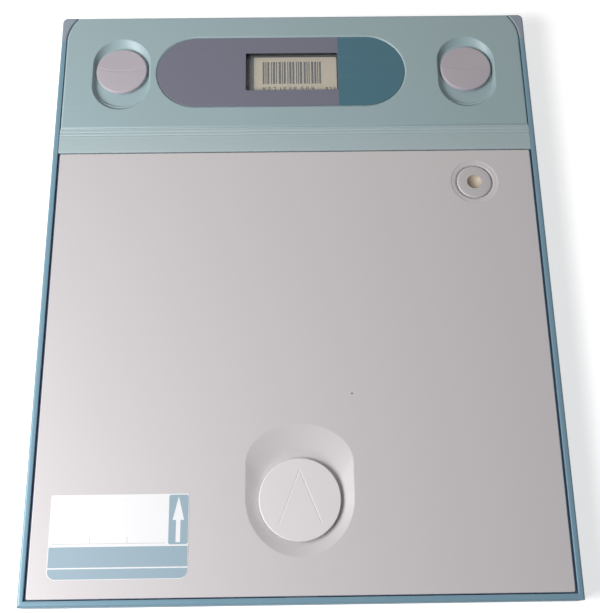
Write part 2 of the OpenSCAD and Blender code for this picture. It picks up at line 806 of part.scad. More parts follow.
module lock_disc() {
    r = disc_d / 2;
    mark_w = 0.5;
    mark_l = disc_d * 2 / 3;
    mark_half = 21;                           // half the angle between the mark's two lines
    top = disc_z + disc_t;
    color(silver) difference() {
        union() {
            translate([0, lock_y, disc_z]) rotate_extrude($fn = 96) polygon([
                [0, 0], [r - 0.4, 0], [r, 0.4], [r, disc_t - 0.6], [r - 0.6, disc_t], [0, disc_t]
            ]);
            translate([0, 0, lock_bolt_z + bolt_t])
                linear_extrude(disc_z - lock_bolt_z - bolt_t + 0.5)
                upright_slot(neck_w, lock_y - 2, lock_y + 2);
        }
        for (s = [-1, 1]) translate([0, lock_y + 0.75 * r, top - mark_depth])
            rotate(s * mark_half) translate([-mark_w / 2, -mark_l, 0]) cube([mark_w, mark_l, 1]);
    }
}

module lock_bolt() {
    w = lock_slide_w / 2;
    color("lightgray") translate([0, 0, lock_bolt_z]) difference() {
        union() {
            slab(-w, lock_y - lock_slide_l / 2, w, lock_y + lock_slide_l / 2, 0, bolt_t);
            slab(-w / 2, lock_tip, w / 2, lock_y, 0, bolt_t);
            slab(-tail_w / 2, lock_y, tail_w / 2, lock_y + lock_slide_l / 2 + tail_l, 0, bolt_t);
        }
        for (s = [-1, 1]) translate([s * (w - slide_slot * 1.5), lock_y, -1])
            linear_extrude(bolt_t + 2)
            upright_slot(slide_slot, -lock_slide_l / 3, lock_slide_l / 3);
    }
}

module lock_spring() {
    color("silver") translate([0, lock_stop_y - lock_spring_l + spring_end, lock_bolt_z + bolt_t / 2])
        coil(lock_spring_l - 2 * spring_end, spring_r, spring_wire);
}

// Plug with a bevelled rim, a ball-shaped dimple, and a stem through the back plate
module index_plug() {
    r = plug_d / 2;
    ball = 6;
    bury = sqrt(ball * ball - dimple_d * dimple_d / 4);
    floor_z = lid_top - 0.7;
    color(silver) translate([plug_x, plug_cy, 0]) difference() {
        union() {
            translate([0, 0, floor_z]) rotate_extrude() polygon([
                [0, 0], [r, 0], [r, 0.2], [r - 0.9, plug_z - floor_z], [0, plug_z - floor_z]
            ]);
            translate([0, 0, back_z - 2.4]) cylinder(d = plug_d - 5.8, h = floor_z - back_z + 2.4 + eps);
            translate([0, 0, back_z - 2.4]) cylinder(d = plug_d - 3, h = 1.6);
        }
        translate([0, 0, plug_z + bury]) sphere(r = ball, $fn = 64);
    }
}

module writing_label() {
    x0 = -lid_x + note_inset;
    y0 = lid_y0 + note_rise;
    r_low = 4;
    r_high = 1;
    color("whitesmoke") translate([x0, y0, lid_top]) linear_extrude(0.12) union() {
        translate([r_low, 0]) square([note_w - 2 * r_low, note_h]);
        translate([0, r_low]) square([note_w, note_h - r_low - r_high]);
        for (x = [r_low, note_w - r_low]) translate([x, r_low]) circle(r = r_low);
        for (x = [r_high, note_w - r_high]) translate([x, note_h - r_high]) circle(r = r_high);
        translate([r_high, note_h - 2 * r_high]) square([note_w - 2 * r_high, 2 * r_high]);
    }
}

left_rail();
right_rail();
bottom_rail();
top_rail();
left_cap();
right_cap();
front_panel();
front_felt();
imaging_plate();
light_seal();
header_housing();
header_cover();
header_screws();
name_plate();
window_bezel();
window_lens();
bar_label();
left_latch_knob();
left_latch_bolt();
left_latch_spring();
right_latch_knob();
right_latch_bolt();
right_latch_spring();
hinge_web();
hinge_band();
back_plate();
lid_frame();
lead_foil();
pressure_foam();
lock_disc();
lock_bolt();
lock_spring();
index_plug();
writing_label();
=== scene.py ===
"""Imaging-plate cassette seen from its back: header flap, hinge strip and silver back in a frame.

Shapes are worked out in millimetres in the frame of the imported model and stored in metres."""
import math

import bmesh
import bpy
import numpy as np
from bpy.props import FloatProperty, FloatVectorProperty, IntProperty, PointerProperty
from mathutils import Matrix, Vector
from mathutils.geometry import tessellate_polygon


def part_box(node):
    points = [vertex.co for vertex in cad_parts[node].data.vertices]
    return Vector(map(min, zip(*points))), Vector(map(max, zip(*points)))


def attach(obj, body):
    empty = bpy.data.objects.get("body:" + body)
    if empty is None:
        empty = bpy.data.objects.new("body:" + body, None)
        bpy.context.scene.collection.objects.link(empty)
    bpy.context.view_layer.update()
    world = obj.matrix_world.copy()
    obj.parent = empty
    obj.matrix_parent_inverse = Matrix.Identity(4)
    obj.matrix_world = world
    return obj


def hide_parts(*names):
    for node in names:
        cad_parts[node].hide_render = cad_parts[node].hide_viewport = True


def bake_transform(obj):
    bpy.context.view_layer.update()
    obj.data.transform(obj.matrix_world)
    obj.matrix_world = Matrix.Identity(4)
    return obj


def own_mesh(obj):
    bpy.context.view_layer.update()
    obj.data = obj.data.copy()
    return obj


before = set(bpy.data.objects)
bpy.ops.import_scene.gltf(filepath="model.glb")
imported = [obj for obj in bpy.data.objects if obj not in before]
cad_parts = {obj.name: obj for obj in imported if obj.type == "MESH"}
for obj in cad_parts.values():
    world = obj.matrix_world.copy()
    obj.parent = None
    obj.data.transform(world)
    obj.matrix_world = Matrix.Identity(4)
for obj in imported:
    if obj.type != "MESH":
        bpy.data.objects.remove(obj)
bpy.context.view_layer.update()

bl_info = {
    "name": "Imaging-plate cassette",
    "version": (1, 0, 0),
    "blender": (4, 5, 0),
    "location": "View3D > Sidebar > Cassette",
    "description": "Builds the visible pieces of an imaging-plate cassette round its packed model",
    "category": "Add Mesh",
}

MM = 0.001
ARC = 24                      # points on a quarter of a round corner


def place(node):
    """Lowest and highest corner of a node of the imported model, in millimetres."""
    low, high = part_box(node)
    return np.array(low) / MM, np.array(high) / MM


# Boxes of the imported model's nodes, and sizes that follow from them
HOUSING, RAIL, CAP, NAME, BACK, DISC, PLUG, WEB, BAND, NOTE, BEZEL, LENS, BAR, LOCK_BOLT = (
    place(node) for node in (
        "header_housing", "right_rail", "right_cap", "name_plate", "back_plate", "lock_disc",
        "index_plug", "hinge_web", "hinge_band", "writing_label", "window_bezel", "window_lens",
        "bar_label", "lock_bolt"))
KNOBS = {side: place(side + "_latch_knob") for side in ("left", "right")}
(_, HEADER_Y0, HEADER_Z0), (HEADER_X, _, CASE_H) = HOUSING
HALF_W, HALF_L = RAIL[1][0], CAP[1][1]
KNOB_R = (KNOBS["right"][1][0] - KNOBS["right"][0][0]) / 2
KNOB_Y = KNOBS["right"][0][1] + KNOB_R
LATCH_X = (KNOBS["right"][0][0] + KNOBS["right"][1][0]) / 2
DISC_R = (DISC[1][0] - DISC[0][0]) / 2
LOCK_Y = (DISC[0][1] + DISC[1][1]) / 2

# Sizes that the scene adds, in millimetres
RAIL_WALL = 3.0               # thickness of the rail walls
HEADER_GAP = HALF_W - RAIL_WALL - HEADER_X
CORNER_R = 24.0               # radius of the header's upper corners
CORNER_Y = HALF_L - 16.0      # height of their centres
ROOF = 1.8                    # thickness of the header's roof
RECESS = 3.0                  # depth of the latch recesses
GUIDE = 4.0                   # depth of the guides' roof, under the recesses' floor
DISH = 2.4                    # depth of the lock's dish
DISH_IN = (-1.5, 6.0)         # ends of the dish's level floor, from the lock's middle
SHEET = 1.0                   # thickness of the back plate
PRINT = 0.02                  # thickness of ink on a label


# ---- outlines: each gives points (n, 2) whose order matches from one inset to the next ----

def arch_outline(cx, y0, y1, r, arch, sag):
    """Half ellipse r by sag about (cx, y0) below, half ellipse r by arch about (cx, y1) above."""
    up = np.linspace(0, np.pi, 2 * ARC)
    low = np.linspace(np.pi, 2 * np.pi, 2 * ARC)
    return np.vstack([
        np.stack([cx + r * np.cos(up), y1 + arch * np.sin(up)], 1),
        np.stack([cx + r * np.cos(low), y0 + sag * np.sin(low)], 1)])


def slot_outline(cx, y0, y1, r):
    """Upright slot: half circles of radius r about (cx, y0) below and (cx, y1) above."""
    return arch_outline(cx, y0, y1, r, r, r)


def lying_outline(x0, x1, cy, r):
    """Slot lying along X: half circles of radius r about (x1, cy) and (x0, cy)."""
    right = np.linspace(-np.pi / 2, np.pi / 2, 2 * ARC)
    left = right + np.pi
    return np.vstack([
        np.stack([x1 + r * np.cos(right), cy + r * np.sin(right)], 1),
        np.stack([x0 + r * np.cos(left), cy + r * np.sin(left)], 1)])


def box_outline(x0, y0, x1, y1, r, n=ARC // 3):
    """Rectangle with quarter circles of radius r at its corners; r may be one number or four."""
    r = np.broadcast_to(np.asarray(r, float), (4,))
    quarter = np.linspace(0, np.pi / 2, n)
    centres = [(x1 - r[0], y0 + r[0], -np.pi / 2), (x1 - r[1], y1 - r[1], 0.0),
               (x0 + r[2], y1 - r[2], np.pi / 2), (x0 + r[3], y0 + r[3], np.pi)]
    return np.vstack([
        np.stack([cx + ri * np.cos(quarter + a), cy + ri * np.sin(quarter + a)], 1)
        for (cx, cy, a), ri in zip(centres, r)])


def inset_box(low, high, r, least=None):
    """Function of an inset: the box from low to high, drawn in by it, with corner radius r.

    Where least is given, the radius shrinks by the inset down to least."""
    def outline(d):
        radius = r if least is None else np.maximum(np.subtract(r, d), least)
        return box_outline(low[0] + d, low[1] + d, high[0] - d, high[1] - d, radius)
    return outline


def round_outline(cx, cy, r, n=4 * ARC):
    """Circle of radius r about (cx, cy)."""
    a = np.linspace(0, 2 * np.pi, n, endpoint=False)
    return np.stack([cx + r * np.cos(a), cy + r * np.sin(a)], 1)


def fillet(r, z, n=7, side=0.06):
    """Insets and heights of a quarter round from a wall up to a face at z, with a strip beyond."""
    a = np.linspace(0, np.pi / 2, n)
    inset = np.append(r * (1 - np.cos(a)), r + side)
    height = np.append(z - r + r * np.sin(a), z)
    return inset, list(height)


# ---- a skin gathers patches in millimetres and turns them into one closed piece ----

class Skin:
    """Patches of one piece: grids and rings of points, and flat faces between outlines."""

    def __init__(self):
        self.points, self.faces, self.marks, self.count = [], [], [], 0

    def add(self, points, faces, mark=0):
        self.points.append(points)
        self.faces.append(faces + self.count)
        self.marks.append(np.full(len(faces), mark))
        self.count += len(points)

    def grid(self, points, wrap=False, mark=0):
        """Quads over points (rows, columns, 3); wrap joins the last column to the first."""
        rows, cols = points.shape[:2]
        index = np.arange(rows * cols).reshape(rows, cols)
        right = np.roll(index, -1, axis=1)
        if not wrap:
            index, right = index[:, :-1], right[:, :-1]
        faces = np.stack([index[:-1], right[:-1], right[1:], index[1:]], -1).reshape(-1, 4)
        self.add(points.reshape(-1, 3), faces, mark)

    def rings(self, outlines, heights, mark=0):
        """Closed outlines of one point order, each at a height or at a height per point."""
        rows = [np.column_stack([o, np.broadcast_to(z, len(o))])
                for o, z in zip(outlines, heights)]
        self.grid(np.stack(rows), wrap=True, mark=mark)

    def wall(self, outline, z0, z1):
        """Upright wall along an outline."""
        self.rings([outline, outline], [z0, z1])

    def turned(self, cx, cy, profile, mark=0):
        """Turned shape about (cx, cy) through radii and heights."""
        self.rings([round_outline(cx, cy, r) for r, _ in profile], [z for _, z in profile], mark)

    def fill(self, loops, axes, mark=0):
        """Flat face inside the first loop of points (n, 3) and outside the others."""
        faces = tessellate_polygon([[Vector((*p[axes], 0)) for p in loop] for loop in loops])
        self.add(np.vstack(loops), np.array([list(f) + [f[-1]] for f in faces]), mark)

    def flat(self, outlines, z, mark=0):
        """Level face inside the first outline and outside the others."""
        self.fill([np.column_stack([o, np.full(len(o), z)]) for o in outlines], [0, 1], mark)

    def sweep(self, rows, axes):
        """Section carried through rows (stations, points, 3); axes are the two it is flat in."""
        self.grid(rows, wrap=True)
        for row in (rows[0], rows[-1]):
            self.fill([row], axes)

    def prism(self, outlines, z0, z1):
        """Upright prism inside the first outline and outside the others."""
        for outline in outlines:
            self.wall(outline, z0, z1)
        self.flat(outlines, z0)
        self.flat(outlines, z1)

    def rim(self, outline, z0, z1, r, n=7, side=0.06):
        """Wall from z0 up to a rim of radius r at z1, as in fillet; gives the rim's outline.

        outline is a function of the inset."""
        inset, height = fillet(r, z1, n, side)
        self.rings([outline(0)] + [outline(d) for d in inset], [z0] + height)
        return outline(inset[-1])

    def slab(self, outline, z0, z1, r, n, side):
        """Slab with a rounded upper rim of radius r; outline is a function of the inset."""
        self.flat([self.rim(outline, z0, z1, r, n, side)], z1)
        self.flat([outline(0)], z0)

    def guide(self, floor, slot, under, roof, z_floor, z_under, z_roof):
        """Floor with a slot through it, and the block below it that widens to the roof."""
        self.flat([floor, slot], z_floor)
        self.wall(slot, z_floor, z_under)
        self.flat([under, slot], z_under)
        self.rings([under, roof], [z_under, z_roof])

    def neck(self, around, neck, base, foot):
        """Underside at base, round a neck that goes down to its foot."""
        self.flat([around, neck], base)
        self.wall(neck, base, foot)
        self.flat([neck], foot)

    def make(self, name, body, slot, materials, node=None, sharp=32, weld=0.002):
        """Merges the patches into one closed mesh in metres, with faces outwards.

        The piece is smooth up to the angle sharp, rides on body and stands for node."""
        mesh = bpy.data.meshes.new(name)
        faces = np.vstack(self.faces).tolist()
        mesh.from_pydata((np.vstack(self.points) * MM).tolist(), [],
                         [[a, b, c] if c == d else [a, b, c, d] for a, b, c, d in faces])
        mesh.polygons.foreach_set("material_index", np.concatenate(self.marks).astype(np.int32))
        bm = bmesh.new()
        bm.from_mesh(mesh)
        bmesh.ops.remove_doubles(bm, verts=bm.verts, dist=weld * MM)
        bmesh.ops.dissolve_degenerate(bm, dist=weld * MM, edges=bm.edges)
        bmesh.ops.recalc_face_normals(bm, faces=bm.faces)
        bm.to_mesh(mesh)
        bm.free()
        mesh.validate()
        mesh.polygons.foreach_set("use_smooth", np.ones(len(mesh.polygons), bool))
        mesh.set_sharp_from_angle(angle=math.radians(sharp))
        for material in materials:
            mesh.materials.append(material)
        mesh.update()
        piece = bpy.data.objects.new(name, mesh)
        bpy.context.scene.collection.objects.link(piece)
        if body:
            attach(piece, body)
        if node:
            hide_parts(node)
        return piece


# ---- nodes: small helpers, then node groups that several materials share ----

def feed(tree, socket, value):
    """Links a socket to an input, or sets the input to a value."""
    if isinstance(value, bpy.types.NodeSocket):
        tree.links.new(value, socket)
    else:
        socket.default_value = value


def add_node(tree, kind, inputs=None, **settings):
    """A node with its settings; inputs maps an input's name or number to a socket or a value."""
    node = tree.nodes.new(kind)
    for key, value in settings.items():
        setattr(node, key, value)
    for key, value in (inputs or {}).items():
        feed(tree, node.inputs[key], value)
    return node


def maths(tree, operation, a, b=0.0):
    """Result of a Math node."""
    return add_node(tree, "ShaderNodeMath", {0: a, 1: b}, operation=operation).outputs[0]


def mix_colour(tree, factor, a, b):
    """Result of mixing colour a to colour b."""
    return add_node(tree, "ShaderNodeMix", {0: factor, 6: a, 7: b}, data_type="RGBA").outputs[2]


def noise(tree, vector, scale, detail, **others):
    """Value of a noise texture."""
    inputs = {"Vector": vector, "Scale": scale, "Detail": detail, **others}
    return add_node(tree, "ShaderNodeTexNoise", inputs).outputs[0]


def ramp(tree, value, low, high):
    """Value brought from low..high to 0..1."""
    inputs = {"Value": value, "From Min": low, "From Max": high}
    return add_node(tree, "ShaderNodeMapRange", inputs).outputs[0]


def stretched(tree, vector, scale, turn=0.0):
    """Coordinates turned about Z and scaled along each axis."""
    inputs = {"Vector": vector, "Rotation": (0.0, 0.0, turn), "Scale": scale}
    return add_node(tree, "ShaderNodeMapping", inputs).outputs[0]


def object_place(tree):
    """Object coordinates, from one node in each tree."""
    coords = tree.nodes.get("Object place") or add_node(tree, "ShaderNodeTexCoord")
    coords.name = "Object place"
    return coords.outputs["Object"]


def node_group(name, inputs, outputs):
    """A new shader node group with a Vector and number inputs; gives its inputs and its end."""
    group = bpy.data.node_groups.new(name, "ShaderNodeTree")
    group.interface.new_socket("Vector", in_out="INPUT", socket_type="NodeSocketVector")
    for label, default in inputs.items():
        socket = group.interface.new_socket(label, in_out="INPUT", socket_type="NodeSocketFloat")
        socket.default_value = default
    for label in outputs:
        group.interface.new_socket(label, in_out="OUTPUT", socket_type="NodeSocketFloat")
    given = group.nodes.new("NodeGroupInput").outputs
    return group, given, group.nodes.new("NodeGroupOutput")


def grain_group():
    """Fine grain of moulded or sprayed surfaces: two sizes of noise as a height and a mask."""
    group, given, out = node_group("fine grain", {"Grain Scale": 900.0, "Cloud Scale": 25.0},
                                   ("Height", "Cloud"))
    fine = noise(group, given["Vector"], given["Grain Scale"], 2.0, Roughness=0.55)
    cloud = noise(group, given["Vector"], given["Cloud Scale"], 4.0, Roughness=0.6)
    feed(group, out.inputs["Height"], fine)
    feed(group, out.inputs["Cloud"], cloud)


def wear_group():
    """Handling wear: sparse hairline scratches and small scuffs, as a mask from 0 to 1."""
    group, given, out = node_group("handling wear", {"Scratches": 0.5, "Scuffs": 0.5}, ("Mask",))
    lines = []
    for turn, stretch in ((0.35, (14.0, 900.0, 14.0)), (-0.9, (11.0, 700.0, 11.0))):
        turned = stretched(group, given["Vector"], stretch, turn)
        lines.append(ramp(group, noise(group, turned, 1.0, 1.0, Roughness=0.4), 0.735, 0.78))
    scratch = maths(group, "MULTIPLY", maths(group, "MAXIMUM", *lines), given["Scratches"])
    scuff = ramp(group, noise(group, given["Vector"], 120.0, 5.0, Roughness=0.7), 0.66, 0.76)
    feed(group, out.inputs["Mask"],
         maths(group, "MAXIMUM", scratch, maths(group, "MULTIPLY", scuff, given["Scuffs"])))


def edge_group():
    """Paler rims: how far the bevelled normal leaves the surface's own, as a mask."""
    group, given, out = node_group("rubbed edges", {"Width": 0.0006}, ("Mask",))
    bevel = add_node(group, "ShaderNodeBevel", {"Radius": given["Width"]}, samples=4)
    own = add_node(group, "ShaderNodeNewGeometry")
    dot = add_node(group, "ShaderNodeVectorMath", {0: bevel.outputs[0], 1: own.outputs["Normal"]},
                   operation="DOT_PRODUCT")
    rim = ramp(group, dot.outputs["Value"], 0.995, 0.85)
    spots = noise(group, given["Vector"], 300.0, 3.0)
    feed(group, out.inputs["Mask"], maths(group, "MULTIPLY", rim, spots))


def placed(tree, group, **values):
    """Outputs of a node group put in a material, with Object coordinates on its Vector."""
    inputs = {key.replace("_", " ").title(): value for key, value in values.items()}
    return add_node(tree, "ShaderNodeGroup", {"Vector": object_place(tree), **inputs},
                    node_tree=bpy.data.node_groups[group]).outputs


# ---- finishes ----

def srgb(*levels):
    """Linear colour, with alpha 1, of three sRGB levels from 0 to 255."""
    c = np.asarray(levels, float) / 255
    linear = np.where(c <= 0.04045, c / 12.92, ((c + 0.055) / 1.055) ** 2.4)
    return tuple(float(v) for v in linear) + (1.0,)


def shade(tone, factor):
    """The colour made darker or lighter."""
    return tuple(min(1.0, v * factor) for v in tone[:3]) + (1.0,)


def material(name):
    """A new material and its node tree."""
    made = bpy.data.materials.new(name)
    made.use_nodes = True
    return made, made.node_tree


def dress(tree, base, rough, bump=None, others=None):
    """Feeds the Principled shader: colour, roughness, a bump as (height, strength, distance)
    and other inputs by name."""
    shader = tree.nodes["Principled BSDF"]
    inputs = {"Base Color": base, "Roughness": rough, **(others or {})}
    if bump:
        height, strength, distance = bump
        inputs["Normal"] = add_node(tree, "ShaderNodeBump", {
            "Strength": strength, "Distance": distance, "Height": height}).outputs[0]
    for key, value in inputs.items():
        feed(tree, shader.inputs[key], value)


PLASTICS = {
    # name: colour (a property of the looks or sRGB levels), roughness, grain scale, bump,
    # clouding, scratches, scuffs, paler edges, brightness of wear, metallic
    "rail lacquer": ("teal", 0.34, 1300, 0.06, 0.04, 0.3, 0.25, 0.35, 1.3, 0.15),
    "cap moulding": ((150, 160, 172), 0.5, 1100, 0.25, 0.05, 0.2, 0.3, 0.3, 1.2, 0),
    "mint moulding": ("mint", 0.42, 1500, 0.12, 0.03, 0.18, 0.1, 0.22, 1.25, 0),
    "name plate lacquer": ("plate_grey", 0.46, 2400, 0.04, 0.04, 0.25, 0.2, 0.1, 1.35, 0),
    "black moulding": ((34, 33, 40), 0.5, 1800, 0.1, 0.15, 0.1, 0.1, 0.2, 1.25, 0),
    "label paper": ((222, 208, 182), 0.7, 3000, 0.08, 0.04, 0, 0.15, 0, 0.9, 0),
    "label ink": ((38, 34, 40), 0.6, 3000, 0.05, 0.2, 0, 0, 0, 1.25, 0),
    "knob moulding": ("knob", 0.4, 1700, 0.08, 0.03, 0.2, 0.15, 0.3, 1.15, 0),
    "strip moulding": ((175, 192, 195), 0.48, 1500, 0.1, 0.03, 0.1, 0.1, 0.15, 1.25, 0),
    "disc moulding": ("silver", 0.4, 2600, 0.06, 0.03, 0.25, 0.15, 0.2, 1.1, 0),
    "plug moulding": ("silver", 0.38, 2600, 0.05, 0.03, 0.15, 0.3, 0.25, 0.9, 0),
    # the plug dimple's warm tan is a painted reflection of warm light, not the plug's own colour
    "plug dimple": ((192, 178, 160), 0.5, 2600, 0.05, 0.03, 0.15, 0.3, 0, 0.9, 0),
    "label film": ((244, 244, 245), 0.5, 2600, 0.02, 0.012, 0.05, 0.25, 0, 0.93, 0),
    "label print": ((155, 177, 190), 0.5, 2600, 0.02, 0.03, 0.05, 0.15, 0, 1.1, 0),
    "label rule": ((196, 198, 201), 0.5, 2600, 0.02, 0.03, 0, 0, 0, 1.25, 0),
    "inner moulding": ((62, 66, 74), 0.6, 1200, 0.3, 0.08, 0.1, 0.1, 0.2, 1.25, 0),
    "front laminate": ((52, 56, 64), 0.35, 3000, 0.05, 0.06, 0.3, 0.15, 0.2, 1.25, 0),
    "lid frame lacquer": ((92, 108, 140), 0.5, 1200, 0.1, 0.05, 0.1, 0.1, 0.2, 1.25, 0),
    "plate coating": ((232, 234, 236), 0.3, 4000, 0.02, 0.01, 0.1, 0.03, 0.05, 0.95, 0),
}


def plastic(name, factor=1.0, painted=None):
    """Moulded plastic or lacquer: clouded colour, paler wear and rims, and a fine grain.

    painted, where given, takes the tree and the colour socket and gives the two-tone colour."""
    tone, rough, grain, bump, cloud, scratches, scuffs, edges, wear, metallic = PLASTICS[name]
    tone = shade(getattr(looks(), tone) if isinstance(tone, str) else srgb(*tone), factor)
    made, tree = material(name)
    fine = placed(tree, "fine grain", grain_scale=grain)
    worn = placed(tree, "handling wear", scratches=scratches, scuffs=scuffs)["Mask"]
    rims = placed(tree, "rubbed edges")["Mask"]
    base = mix_colour(tree, fine["Cloud"], shade(tone, 1 - cloud), shade(tone, 1 + cloud))
    if painted:
        base = painted(tree, base)
    base = mix_colour(tree, maths(tree, "MULTIPLY", rims, edges), base, shade(tone, 1.6))
    base = mix_colour(tree, worn, base, shade(tone, wear))
    rough = maths(tree, "ADD", maths(tree, "MULTIPLY", fine["Cloud"], 0.12), rough - 0.06)
    rough = maths(tree, "ADD", rough, maths(tree, "MULTIPLY", worn, 0.12))
    dress(tree, base, rough, (fine["Height"], bump, 0.0002), {"Metallic": metallic})
    return made


def two_tone(tree, base):
    """Paint of the name plate: its own colour up to the split along X, the other beyond."""
    parts = add_node(tree, "ShaderNodeSeparateXYZ", {0: object_place(tree)})
    x = maths(tree, "MULTIPLY", parts.outputs["X"], 1 / MM)
    mask = maths(tree, "GREATER_THAN", x, looks().name_split)
    return mix_colour(tree, mask, base, tuple(looks().plate_teal))


CHIP = (0.0270, -0.0625, 0.0146)  # a small chip in the back's lacquer, in metres
CHIP_R = 0.00045


def silver_paint():
    """Satin silver lacquer: fine metallic speckle under it, faint wiping marks and a chip."""
    made, tree = material("silver lacquer")
    tone = tuple(looks().silver)
    fine = placed(tree, "fine grain", grain_scale=5200.0, cloud_scale=14.0)
    worn = placed(tree, "handling wear", scratches=0.22, scuffs=0.12)["Mask"]
    base = mix_colour(tree, fine["Height"], shade(tone, 0.90), shade(tone, 1.08))
    base = mix_colour(tree, maths(tree, "MULTIPLY", worn, 0.35), base, shade(tone, 1.15))
    away = add_node(tree, "ShaderNodeVectorMath", {0: object_place(tree), 1: CHIP},
                    operation="DISTANCE")
    chip = maths(tree, "LESS_THAN", away.outputs["Value"], CHIP_R)
    base = mix_colour(tree, chip, base, srgb(96, 88, 84))
    rough = maths(tree, "ADD", maths(tree, "MULTIPLY", fine["Cloud"], 0.10), 0.38)
    dress(tree, base, rough, (fine["Height"], 0.06, 0.0001), {"Metallic": 0.15})
    return made


def foam_texture(name, tone):
    """Open-cell foam: dark cells between paler walls, with a deep bump."""
    made, tree = material(name)
    cells = add_node(tree, "ShaderNodeTexVoronoi", {"Vector": object_place(tree),
                                                    "Scale": 1400.0}).outputs["Distance"]
    base = mix_colour(tree, cells, shade(tone, 0.5), shade(tone, 1.5))
    dress(tree, base, 0.95, (cells, 0.7, 0.0004))
    return made


def felt_texture(name, tone):
    """Felt: short fibres as warped noise, rough and without gloss."""
    made, tree = material(name)
    warp = noise(tree, object_place(tree), 2200.0, 3.0, Distortion=1.5)
    base = mix_colour(tree, warp, shade(tone, 0.6), shade(tone, 1.5))
    dress(tree, base, 0.95, (warp, 0.5, 0.0003), {"Specular IOR Level": 0.2})
    return made


def metal(name, tone, rough, stretch=(40.0, 1600.0, 40.0), metallic=1.0):
    """Rolled or drawn metal: fine lines along X in its roughness, height and colour."""
    made, tree = material(name)
    lines = noise(tree, stretched(tree, object_place(tree), stretch), 1.0, 4.0, Roughness=0.6)
    base = mix_colour(tree, lines, shade(tone, 0.85), shade(tone, 1.1))
    rough = maths(tree, "ADD", maths(tree, "MULTIPLY", lines, 0.2), rough - 0.1)
    dress(tree, base, rough, (lines, 0.08, 0.0002), {"Metallic": metallic})
    return made


def clear(name):
    """Clear window: a faint grey film that keeps its gloss and lets the label show through."""
    made, tree = material(name)
    cloud = placed(tree, "fine grain", grain_scale=300.0)["Cloud"]
    dress(tree, srgb(214, 220, 222), maths(tree, "ADD", maths(tree, "MULTIPLY", cloud, 0.06), 0.04),
          others={"Alpha": 0.14, "Specular IOR Level": 0.8})
    return made


# ---- sizes and colours that a user would change ----

def tint(name, description, *levels):
    """A colour property whose default is given in sRGB levels."""
    return FloatVectorProperty(name=name, description=description, subtype="COLOR", size=4,
                               min=0, max=1, default=srgb(*levels))


def length(name, description, low, high, default):
    """A length property, in millimetres."""
    return FloatProperty(name=name, description=description + ", in millimetres",
                         min=low, max=high, default=default)


class CassetteLooks(bpy.types.PropertyGroup):
    """Colours of the cassette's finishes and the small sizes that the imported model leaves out."""
    mint: tint("Header", "Colour of the header flap", 161, 183, 187)
    teal: tint("Rails", "Colour of the side and bottom rails", 117, 152, 169)
    silver: tint("Back", "Colour of the painted back plate, the disc and the plug", 206, 201, 202)
    knob: tint("Knobs", "Colour of the latch knobs", 189, 182, 189)
    plate_grey: tint("Name plate", "Colour of the name plate's larger part", 116, 116, 132)
    plate_teal: tint("Name plate end", "Colour of the name plate's right part", 62, 109, 124)
    header_edge: length("Header edge", "Radius on the header's free edges", 0.4, 1.6, 1.3)
    recess_lip: length("Recess lip", "Radius where the latch recesses meet the face",
                       0.2, 1.2, 0.7)
    name_split: length("Colour change", "X where the name plate changes colour", 0, 60, 25.2)


class CassetteCoarseness(bpy.types.PropertyGroup):
    """How fine the rounded surfaces are."""
    fillet_steps: IntProperty(
        name="Fillet steps", description="Rows of faces across the header's rounded edge",
        min=3, max=16, default=7)
    bowl_steps: IntProperty(
        name="Bowl steps", description="Rows of faces across the lock's dish",
        min=8, max=64, default=24)


def looks():
    """The colours and small sizes set in the scene."""
    return bpy.context.scene.cassette_looks


# ---- the header flap ----

def header_outline(inset, y1=HALF_L):
    """Header outline: square lower corners, and arcs about CORNER_Y up to y1 at the upper."""
    w, r = HEADER_X - inset, CORNER_R - inset
    low, top = HEADER_Y0 + inset, y1 - inset
    arc = np.linspace(0, math.asin((top - CORNER_Y) / r), 36)
    right = np.stack([w - r + r * np.cos(arc), CORNER_Y + r * np.sin(arc)], 1)
    return np.vstack([[[-w, low], [w, low]], right, right[::-1] * [-1, 1]])


def latch_stack(side_x, z_face):
    """Outlines and heights of a latch recess, from its floor up to its rounded lip.

    The wall is an even slope from the floor outline up; its lip is a parabola that starts at
    the slope's angle and ends level with the face, one lip radius further out."""
    floor = z_face - RECESS
    lip = looks().recess_lip
    side, run, low_run = 1.2, 2.8, 2.6            # spread of the wall sideways, up and down
    t = np.linspace(0, 1, 15)                     # 0 at the floor, 1 at the face

    def outline(f, widen=0.0):
        return slot_outline(side_x, KNOB_Y - 7.1 - low_run * f, KNOB_Y + 1.5 + run * f,
                            KNOB_R + 0.5 + side * f + widen)
    out = [outline(f) for f in np.concatenate([[-0.08], t * 0.9 + 0.02 * np.sin(np.pi * t)])]
    height = floor + RECESS * np.concatenate([[0.0], t ** 1.12 * 0.86])
    for a in np.linspace(0, 1, 8)[1:]:
        out.append(outline(0.9, lip * a))
        height = np.append(height, floor + RECESS * (1 - 0.14 * (1 - a) ** 2))
    last = out[-1]
    out.append(last + (last - last.mean(0)) * 0.003)
    return out, np.append(height, z_face)


